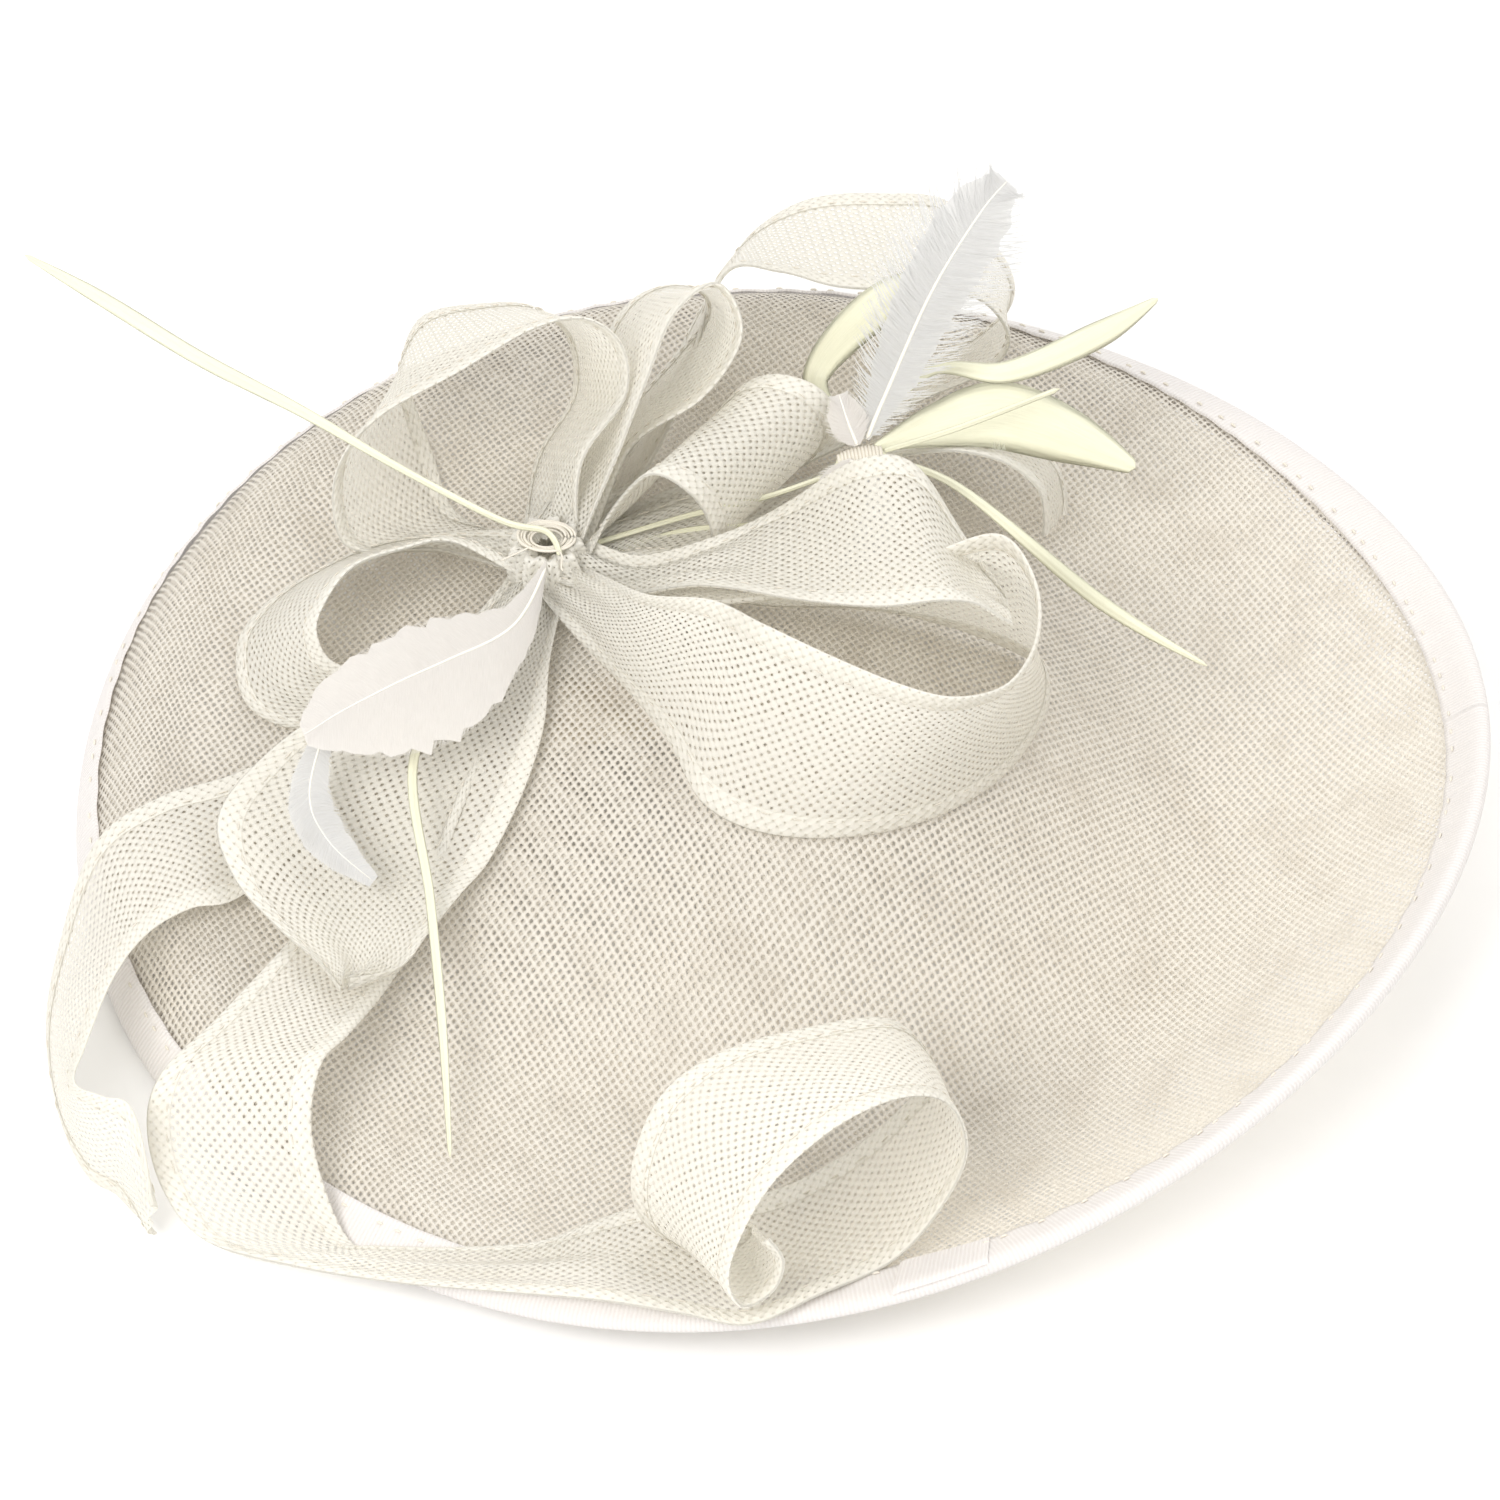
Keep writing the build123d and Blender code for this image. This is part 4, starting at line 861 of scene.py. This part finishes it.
@dataclass
class SpineFeather(Feather):
    """A feather given by its shaft and its widths."""

    route: list[tuple[float, float, float, float]] = field(default_factory=list)

    def outline(self) -> tuple[Array, Array, Array]:
        """Shaft and both edges from the widths."""
        raw = np.array(self.route, float)
        spine = smooth_path(on_hat(raw[:, :3]), 8)
        width = smooth_path(raw[:, 3:], 8)
        side = unit(np.cross(unit(np.gradient(spine, axis=0)), FACING))
        return spine, spine + side * width / 2, spine - side * width / 2


@dataclass
class EdgeFeather(Feather):
    """A feather given by its two edges."""

    edges: list[Station] = field(default_factory=list)
    bias: float = 0.5

    def outline(self) -> tuple[Array, Array, Array]:
        """Shaft between the two edges."""
        near = smooth_path(on_hat([e[0] for e in self.edges]), 8)
        far = smooth_path(on_hat([e[1] for e in self.edges]), 8)
        share = self.bias + 0.12 * np.sin(np.linspace(0, 3.0, len(near)))[:, None]
        middle = near * (1 - share) + far * share
        return middle, near, far


# ------------------------------------------------------------------ clip
@dataclass
class Clip:
    """The sprung clip sewn to a felt patch under the crown."""

    finishes: Finishes

    def patch(self) -> bpy.types.Object:
        """The felt patch with rounded corners, following the inside of the crown."""
        lo, hi = (np.array(c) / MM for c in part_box("clip_pad"))
        n_long, n_wide = 60, 24
        u = np.linspace(-1, 1, n_long)
        w = np.linspace(-1, 1, n_wide)
        cx, cy = (lo + hi)[:2] / 2
        hx, hy = (hi - lo)[:2] / 2
        corner = np.clip(1 - ((np.abs(u) - 0.9) / 0.1).clip(0, 1) ** 2 * 0.35, 0, 1)
        x = cx + hx * u[:, None] * np.ones_like(w)[None, :]
        y = cy + hy * w[None, :] * corner[:, None]
        px = x - HAT_X
        low = np.minimum(saucer_z(px, np.zeros_like(px)), saucer_z(px, np.full_like(px, 11.0)))
        low = np.minimum(low, saucer_z(px, np.full_like(px, -11.0))) - 2.2
        rng = np.random.default_rng(8)
        edge = np.minimum(1 - np.abs(u)[:, None], 1 - np.abs(w)[None, :])
        half = 0.68 * np.sqrt(np.clip(edge * 9, 0, 1))
        fuzz = rng.normal(0, 0.03, x.shape)
        builder = MeshBuilder("felt patch")
        uv = np.stack([x, y], -1)
        builder.grid(np.stack([x, y, low + half + fuzz], -1), uv)
        builder.grid(np.stack([x, y, low - half + fuzz], -1)[:, ::-1], uv[:, ::-1])
        for k in range(44):
            a = 2 * math.pi * k / 44
            sx = cx + (hx - 1.6) * max(min(1.25 * math.cos(a), 1), -1)
            sy = cy + (hy - 1.6) * max(min(1.25 * math.sin(a), 1), -1)
            sz = np.interp(sx, x[:, 0], low[:, 0]) - 0.72
            d = np.array([1.0, 0.2, 0]) if abs(math.sin(a)) > 0.7 else np.array([0.2, 1.0, 0])
            t = np.linspace(-1, 1, 5)[:, None]
            builder.tube(np.array([sx, sy, sz]) + d * t * 0.9, 0.22, 1, 6)
        obj = builder.build([self.finishes["Felt"], self.finishes["Sewing thread"]])
        return settle(obj, ["clip_pad"])

    def build(self) -> None:
        """Builds the patch and finishes the metal parts."""
        self.patch()
        for node in ("clip_fixed_jaw", "clip_moving_jaw", "clip_pin"):
            dress_node(node, self.finishes["Nickelled steel"])
        dress_node("clip_spring", self.finishes["Spring wire"])


# ------------------------------------------------------------------ the bow and the feathers, station by station
STRIPS = [
    Strip(
        "streamer_front",
        [
            ((-58, 27, 3), (-53, 24, 3)),
            ((-74, -11, 3), (-66, -23, 5)),
            ((-91, -35, 4), (-74, -48, 4)),
            ((-104, -59, 10), (-82, -67, 8)),
            ((-117, -83, 20), (-89, -86, 17)),
            ((-127, -98, 31), (-94, -96, 20)),
            ((-130, -106, 24), (-96, -107, 17)),
            ((-127, -114, 12), (-93, -116, 9)),
            ((-118, -121, 3), (-88, -123, 4)),
            ((-98, -130, 5), (-81, -126, 4)),
            ((-77, -136, 6), (-66, -129, 4)),
            ((-57, -140, 6), (-49, -129, 4)),
            ((-36, -145, 6), (-38, -122, 3)),
            ((-20, -150, 6), (-26, -116, 3)),
            ((-6, -155, 6), (-12, -118, 7)),
            ((8, -148, 4), (1, -111, 4)),
            ((23, -139, 3), (15, -103, 8)),
            ((33, -131, 12), (25, -96, 14)),
            ((38, -125, 25), (31, -92, 23)),
            ((34, -124, 41), (23, -91, 38)),
            ((24, -128, 48), (6, -98, 43)),
            ((11, -135, 46), (-12, -107, 44)),
            ((-1, -143, 38), (-24, -115, 38)),
            ((-8, -150, 28), (-30, -122, 22)),
            ((-10, -154, 20), (-28, -125, 7)),
            ((-7, -154, 11), (-18, -129, 3)),
            ((-1, -150, 10), (-10, -128, 3)),
            ((1, -148, 17), (-6, -129, 9)),
            ((-2, -147, 24), (-7, -134, 17)),
        ],
        start=0, seed=1,
    ),
    Strip(
        "streamer_left",
        [
            ((-56, 26, 2), (-54, 23, 3)),
            ((-77, 8, 6), (-75, -5, 7)),
            ((-101, 0, 3), (-98, -24, 3)),
            ((-117, -8, 2), (-114, -43, 6)),
            ((-133, -14, 2), (-124, -48, 8)),
            ((-146, -25, 12), (-133, -56, 14)),
            ((-153, -44, 6), (-140, -71, 26)),
            ((-155, -65, 4), (-144, -89, 27)),
            ((-151, -85, 2), (-144, -102, 33)),
            ((-144, -101, 1), (-138, -108, 36)),
            ((-137, -107, 1), (-132, -112, 36)),
            ((-130, -118, 1), (-128, -119, 14)),
        ],
        start=1.7, seed=2,
    ),
    Strip(
        "leaf_front",
        [
            ((-53, 24, 8), (-49, 25, 5)),
            ((-73, 11, 12), (-49, 7, 6)),
            ((-93, -1, 16), (-50, -8, 4)),
            ((-110, -11, 12), (-54, -23, 4)),
            ((-119, -27, 12), (-61, -38, 5)),
            ((-115, -43, 12), (-67, -47, 9)),
            ((-105, -57, 14), (-73, -57, 13)),
            ((-96, -67, 17), (-79, -67, 15)),
            ((-91, -75, 20), (-89, -75, 20)),
        ],
        start=4.9, seed=3,
    ),
    Strip(
        "loop_small",
        [
            ((-55, 41, 12), (-58, 53, 5)),
            ((-70, 33, 23), (-72, 50, 8)),
            ((-81, 29, 27), (-89, 52, 5)),
            ((-91, 24, 29), (-105, 46, 2)),
            ((-97, 18, 26), (-114, 37, 2)),
            ((-99, 12, 23), (-118, 26, 2)),
            ((-95, 8, 17), (-114, 10, 2)),
            ((-83, 8, 12), (-99, 3, 3)),
            ((-66, 14, 8), (-75, 8, 6)),
            ((-53, 28, 4), (-55, 27, 2)),
        ],
        start=7.5, end=3.3, seed=4,
    ),
    Strip(
        "loop_left",
        [
            ((-51, 39, 11), (-54, 51, 5)),
            ((-42, 47, 29), (-53, 71, 12)),
            ((-33, 58, 39), (-46, 88, 17)),
            ((-34, 66, 49), (-47, 98, 27)),
            ((-42, 70, 55), (-55, 102, 32)),
            ((-54, 69, 54), (-66, 103, 31)),
            ((-70, 66, 45), (-79, 104, 25)),
            ((-87, 63, 35), (-84, 101, 13)),
            ((-96, 58, 25), (-82, 96, 7)),
            ((-97, 49, 17), (-77, 84, 2)),
            ((-92, 46, 10), (-72, 67, 2)),
            ((-74, 48, 5), (-63, 58, 2)),
            ((-55, 41, 6), (-54, 50, 3)),
        ],
        start=9.2, end=3, seed=5,
    ),
    Strip(
        "curl_right",
        [
            ((-46, 40, 2), (-50, 46, 2)),
            ((-18, 44, 2), (-26, 56, 2)),
            ((-6, 52, 2), (-8, 66, 2)),
            ((5, 58, 3), (5, 71, 3)),
            ((20, 62, 18), (22, 85, 10)),
            ((35, 63, 27), (40, 86, 17)),
            ((48, 62, 30), (52, 86, 17)),
            ((56, 60, 27), (61, 84, 11)),
            ((58, 60, 19), (64, 83, 3)),
            ((58, 60, 11), (64, 78, 2)),
        ],
        start=0, seed=6,
    ),
    Strip(
        "loop_far",
        [
            ((-39, 38, 5), (-41, 43, 6)),
            ((-30, 58, 12), (-31, 83, 6)),
            ((-20, 82, 26), (-20, 120, 7)),
            ((-12, 105, 41), (-12, 133, 14)),
            ((0, 99, 49), (-5, 134, 27)),
            ((13, 92, 52), (7, 134, 37)),
            ((29, 92, 53), (23, 135, 39)),
            ((44, 97, 47), (38, 140, 37)),
            ((51, 98, 35), (51, 139, 22)),
            ((47, 99, 23), (52, 134, 8)),
            ((31, 93, 18), (39, 119, 6)),
            ((16, 82, 11), (23, 106, 7)),
            ((-4, 67, 6), (-2, 78, 6)),
            ((-22, 50, 5), (-26, 61, 5)),
            ((-44, 38, 3), (-46, 42, 3)),
        ],
        start=3.4, end=1.7, seed=7,
    ),
    Strip(
        "loop_right",
        [
            ((-47, 41, 9), (-41, 54, 4)),
            ((-37, 37, 19), (-24, 65, 12)),
            ((-28, 36, 33), (-7, 74, 32)),
            ((-19, 34, 28), (6, 71, 36)),
            ((-15, 35, 16), (13, 70, 27)),
            ((-16, 35, 7), (8, 72, 13)),
            ((-24, 33, 8), (-2, 68, 10)),
            ((-34, 35, 8), (-19, 57, 9)),
            ((-45, 37, 7), (-39, 46, 3)),
        ],
        start=7.9, end=5.1, seed=8,
    ),
    Strip(
        "loop_back",
        [
            ((-47, 39, 12), (-50, 51, 5)),
            ((-35, 45, 29), (-43, 71, 16)),
            ((-29, 56, 44), (-39, 92, 28)),
            ((-23, 67, 57), (-33, 99, 36)),
            ((-14, 73, 63), (-25, 102, 39)),
            ((-9, 69, 58), (-17, 101, 39)),
            ((-9, 65, 49), (-16, 99, 33)),
            ((-17, 61, 35), (-22, 99, 22)),
            ((-33, 55, 24), (-35, 83, 13)),
            ((-45, 42, 12), (-48, 55, 6)),
        ],
        start=10.8, end=6.5, seed=9,
    ),
    Strip(
        "loop_front",
        [
            ((-49, 29, 2), (-46, 20, 13)),
            ((-37, 7, 2), (-29, -1, 34)),
            ((-24, -14, 3), (-14, -13, 45)),
            ((-16, -30, 3), (-3, -14, 38)),
            ((-3, -36, 2), (11, -21, 38)),
            ((15, -36, 3), (25, -30, 46)),
            ((33, -28, 3), (37, -32, 50)),
            ((48, -13, 3), (48, -24, 48)),
            ((57, 6, 3), (54, -7, 43)),
            ((58, 20, 3), (54, 9, 43)),
            ((52, 24, 2), (47, 19, 43)),
            ((37, 24, 3), (33, 20, 30)),
            ((17, 24, 3), (13, 15, 20)),
            ((-8, 24, 4), (-10, 14, 15)),
            ((-41, 30, 2), (-38, 22, 15)),
        ],
        start=6.5, end=2.6, seed=10,
    ),
    Strip(
        "leaf_right",
        [
            ((-46, 25, 6), (-44, 30, 6)),
            ((-34, 20, 12), (-30, 33, 9)),
            ((-17, 14, 19), (-13, 34, 14)),
            ((2, 6, 23), (2, 48, 14)),
            ((21, 0, 29), (17, 45, 32)),
            ((34, -1, 36), (29, 43, 36)),
            ((42, -1, 39), (40, 30, 28)),
            ((49, -4, 42), (48, 4, 39)),
        ],
        start=9.5, seed=11,
    ),
]

QUILLS = [
    Quill("quill_left", [(-47, 29, 17, 1.6), (-50, 33, 21, 1.6), (-60, 35, 25, 1.8), (-82, 46, 36, 2), (-103, 59, 42, 3), (-126, 74, 53, 4), (-148, 88, 68, 4), (-165, 99, 70, 1.2)], slim=0.85),
    Quill("quill_low", [(-51, 29, 12, 1.4), (-63, -2, 18, 1.6), (-77, -21, 19, 3), (-73, -53, 17, 3), (-70, -80, 13, 3), (-68, -106, 3, 1.2)], slim=0.7),
    Quill("quill_right", [(21, 57, 25, 1.6), (39, 50, 27, 2.5), (69, 26, 28, 4), (92, 11, 32, 1.2)], slim=0.8),
    Quill("quill_upper", [(19, 62, 27, 1.6), (33, 79, 40, 2.5), (50, 77, 46, 5), (70, 85, 51, 6), (83, 92, 54, 1.2)]),
    Quill("quill_broad", [(21, 60, 26, 1.8), (34, 68, 31, 10), (48, 71, 37, 15), (64, 69, 36, 12), (78, 64, 33, 3)]),
    Quill("quill_pale", [(17, 63, 26, 1.8), (8, 80, 31, 6), (22, 87, 52, 9), (40, 93, 63, 2)]),
    Quill("quill_thread", [(23, 58, 27, 1.2), (39, 62, 37, 1.4), (61, 70, 50, 1.2)]),
    Quill("stem_upper", [(-45, 36, 11, 1.6), (-21, 46, 10, 1.8), (-2, 51, 13, 1.8), (14, 56, 20, 1.6)], slim=0.7),
    Quill("stem_lower", [(-44, 35, 7, 1.6), (-22, 44, 7, 1.8), (-2, 47, 8, 1.8), (14, 54, 17, 1.6)], slim=0.7),
]

FEATHERS: list[Feather] = [
    SpineFeather("plume_tall", Slot.FEATHER_GREY, "Grey barbs", count=230, loose=0.7, lean=0.6, thick=0.8, membrane=0.55, seed=3, route=[(19, 60, 28, 2), (24, 68, 41, 16), (33, 79, 65, 26), (43, 87, 84, 26), (49, 90, 92, 10)]),
    SpineFeather("feather_upper", Slot.FEATHER_CREAM, "Cream barbs", count=70, loose=0.5, lean=0.8, thick=0.6, seed=5, route=[(17, 58, 27, 1.8), (15, 62, 31, 10), (13, 67, 36, 4)]),
    SpineFeather("feather_lower", Slot.FEATHER_CREAM, "Cream barbs", count=60, loose=0.5, lean=0.8, thick=0.6, seed=6, route=[(16, 54, 25, 1.8), (13, 50, 20, 9), (8, 45, 15, 4)]),
    SpineFeather("feather_wisp", Slot.FEATHER_CREAM, "Grey barbs", count=70, loose=0.6, lean=0.8, thick=0.6, seed=7, route=[(20, 54, 23, 1.8), (21, 40, 14, 9), (13, 33, 8, 3)]),
    SpineFeather("feather_small", Slot.FEATHER_GREY, "Grey barbs", count=90, loose=0.15, lean=0.6, thick=0.4, membrane=0.9, seed=8, route=[(-94, -14, 31, 2), (-99, -28, 22, 9), (-95, -39, 20, 10), (-85, -49, 19, 3)]),
    EdgeFeather(
        "feather_front",
        Slot.FEATHER_CREAM,
        "Cream barbs",
        count=240,
        loose=0.03,
        lean=0.5,
        thick=0.55,
        membrane=0.97,
        seed=9,
        edges=[((-50, 24, 16), (-50, 28, 17)), ((-53, 2, 17), (-59, 12, 21)), ((-63, -19, 23), (-74, 6, 28)), ((-75, -27, 28), (-86, -2, 33)), ((-88, -27, 30), (-97, -11, 34)), ((-99, -24, 31), (-101, -19, 32))],
    ),
]


# ------------------------------------------------------------------ studio
@dataclass
class Studio:
    """White floor, soft light and the camera."""

    def floor(self) -> None:
        """A pale floor that reads as plain white and keeps a faint shadow."""
        n = Nodes("Floor")
        place = n.add("ShaderNodeTexCoord").outputs["Object"]
        grain = n.noise(place, 60.0, 3.0)
        tone = n.mix(grain, (0.93, 0.93, 0.93, 1), (0.96, 0.96, 0.96, 1))
        matt = n.add("ShaderNodeBsdfDiffuse", Color=tone).outputs[0]
        material = n.finish(matt)
        builder = MeshBuilder("floor")
        u, v = np.meshgrid(np.linspace(-6000, 6000, 9), np.linspace(-6000, 6000, 9), indexing="ij")
        builder.grid(np.stack([u, v, np.full_like(u, -0.4)], -1), np.stack([u, v], -1))
        builder.build([material], smooth=False)

    def light(self, name: str, place: tuple[float, float, float], size: float, power: float) -> None:
        """One soft square light aimed at the bow."""
        data = bpy.data.lights.new(name, "AREA")
        data.size, data.energy, data.color = size, power, (1.0, 0.985, 0.965)
        obj = bpy.data.objects.new(name, data)
        obj.location = place
        aim = -obj.location
        obj.rotation_mode = "QUATERNION"
        obj.rotation_quaternion = aim.to_track_quat("-Z", "Y")
        bpy.context.scene.collection.objects.link(obj)

    def camera(self) -> None:
        """The camera, looking down on the front of the hat."""
        data = bpy.data.cameras.new("camera")
        data.sensor_width, data.lens = 36.0, 176.6
        data.shift_x, data.shift_y = -29 / 1500, 58 / 1500
        data.clip_start, data.clip_end = 0.05, 20.0
        obj = bpy.data.objects.new("camera", data)
        e = math.radians(50)
        obj.location = (HAT_X * MM, HAT_Y * MM - 1.6 * math.cos(e), 1.6 * math.sin(e))
        obj.rotation_euler = (math.radians(40), 0, 0)
        bpy.context.scene.collection.objects.link(obj)
        bpy.context.scene.camera = obj

    def build(self) -> None:
        """Builds the studio and sets the picture."""
        self.floor()
        self.light("key", (-0.55, -0.75, 1.05), 0.7, 11.5)
        self.light("fill", (0.9, -0.3, 0.9), 0.9, 3.6)
        self.light("back", (0.1, 1.0, 0.8), 0.8, 4.6)
        self.camera()
        world = bpy.data.worlds.new("studio")
        world.use_nodes = True
        background = world.node_tree.nodes["Background"]
        background.inputs[0].default_value = (1.0, 0.995, 0.985, 1)
        background.inputs[1].default_value = 0.8
        scene = bpy.context.scene
        scene.world = world
        scene.render.engine = "CYCLES"
        scene.cycles.samples = 192
        scene.cycles.use_denoising = True
        scene.cycles.transparent_max_bounces = 24
        scene.cycles.max_bounces = 8
        scene.cycles.diffuse_bounces = 4
        scene.render.resolution_x = scene.render.resolution_y = 1500
        scene.view_settings.view_transform = "Standard"


def main() -> None:
    """Builds every sub-assembly in order and reports it."""
    logging.basicConfig(level=logging.INFO, format="%(name)s: %(message)s")
    finishes = Finishes().build()
    Saucer(finishes).build()
    LOG.info("saucer done")
    for strip in STRIPS:
        strip.build(finishes)
    LOG.info("%d strips done", len(STRIPS))
    Knot(finishes).build()
    for quill in QUILLS:
        quill.build(finishes)
    for feather in FEATHERS:
        feather.build(finishes)
    LOG.info("knot, %d quills and %d feathers done", len(QUILLS), len(FEATHERS))
    Clip(finishes).build()
    Studio().build()


if __name__ == "__main__":
    main()
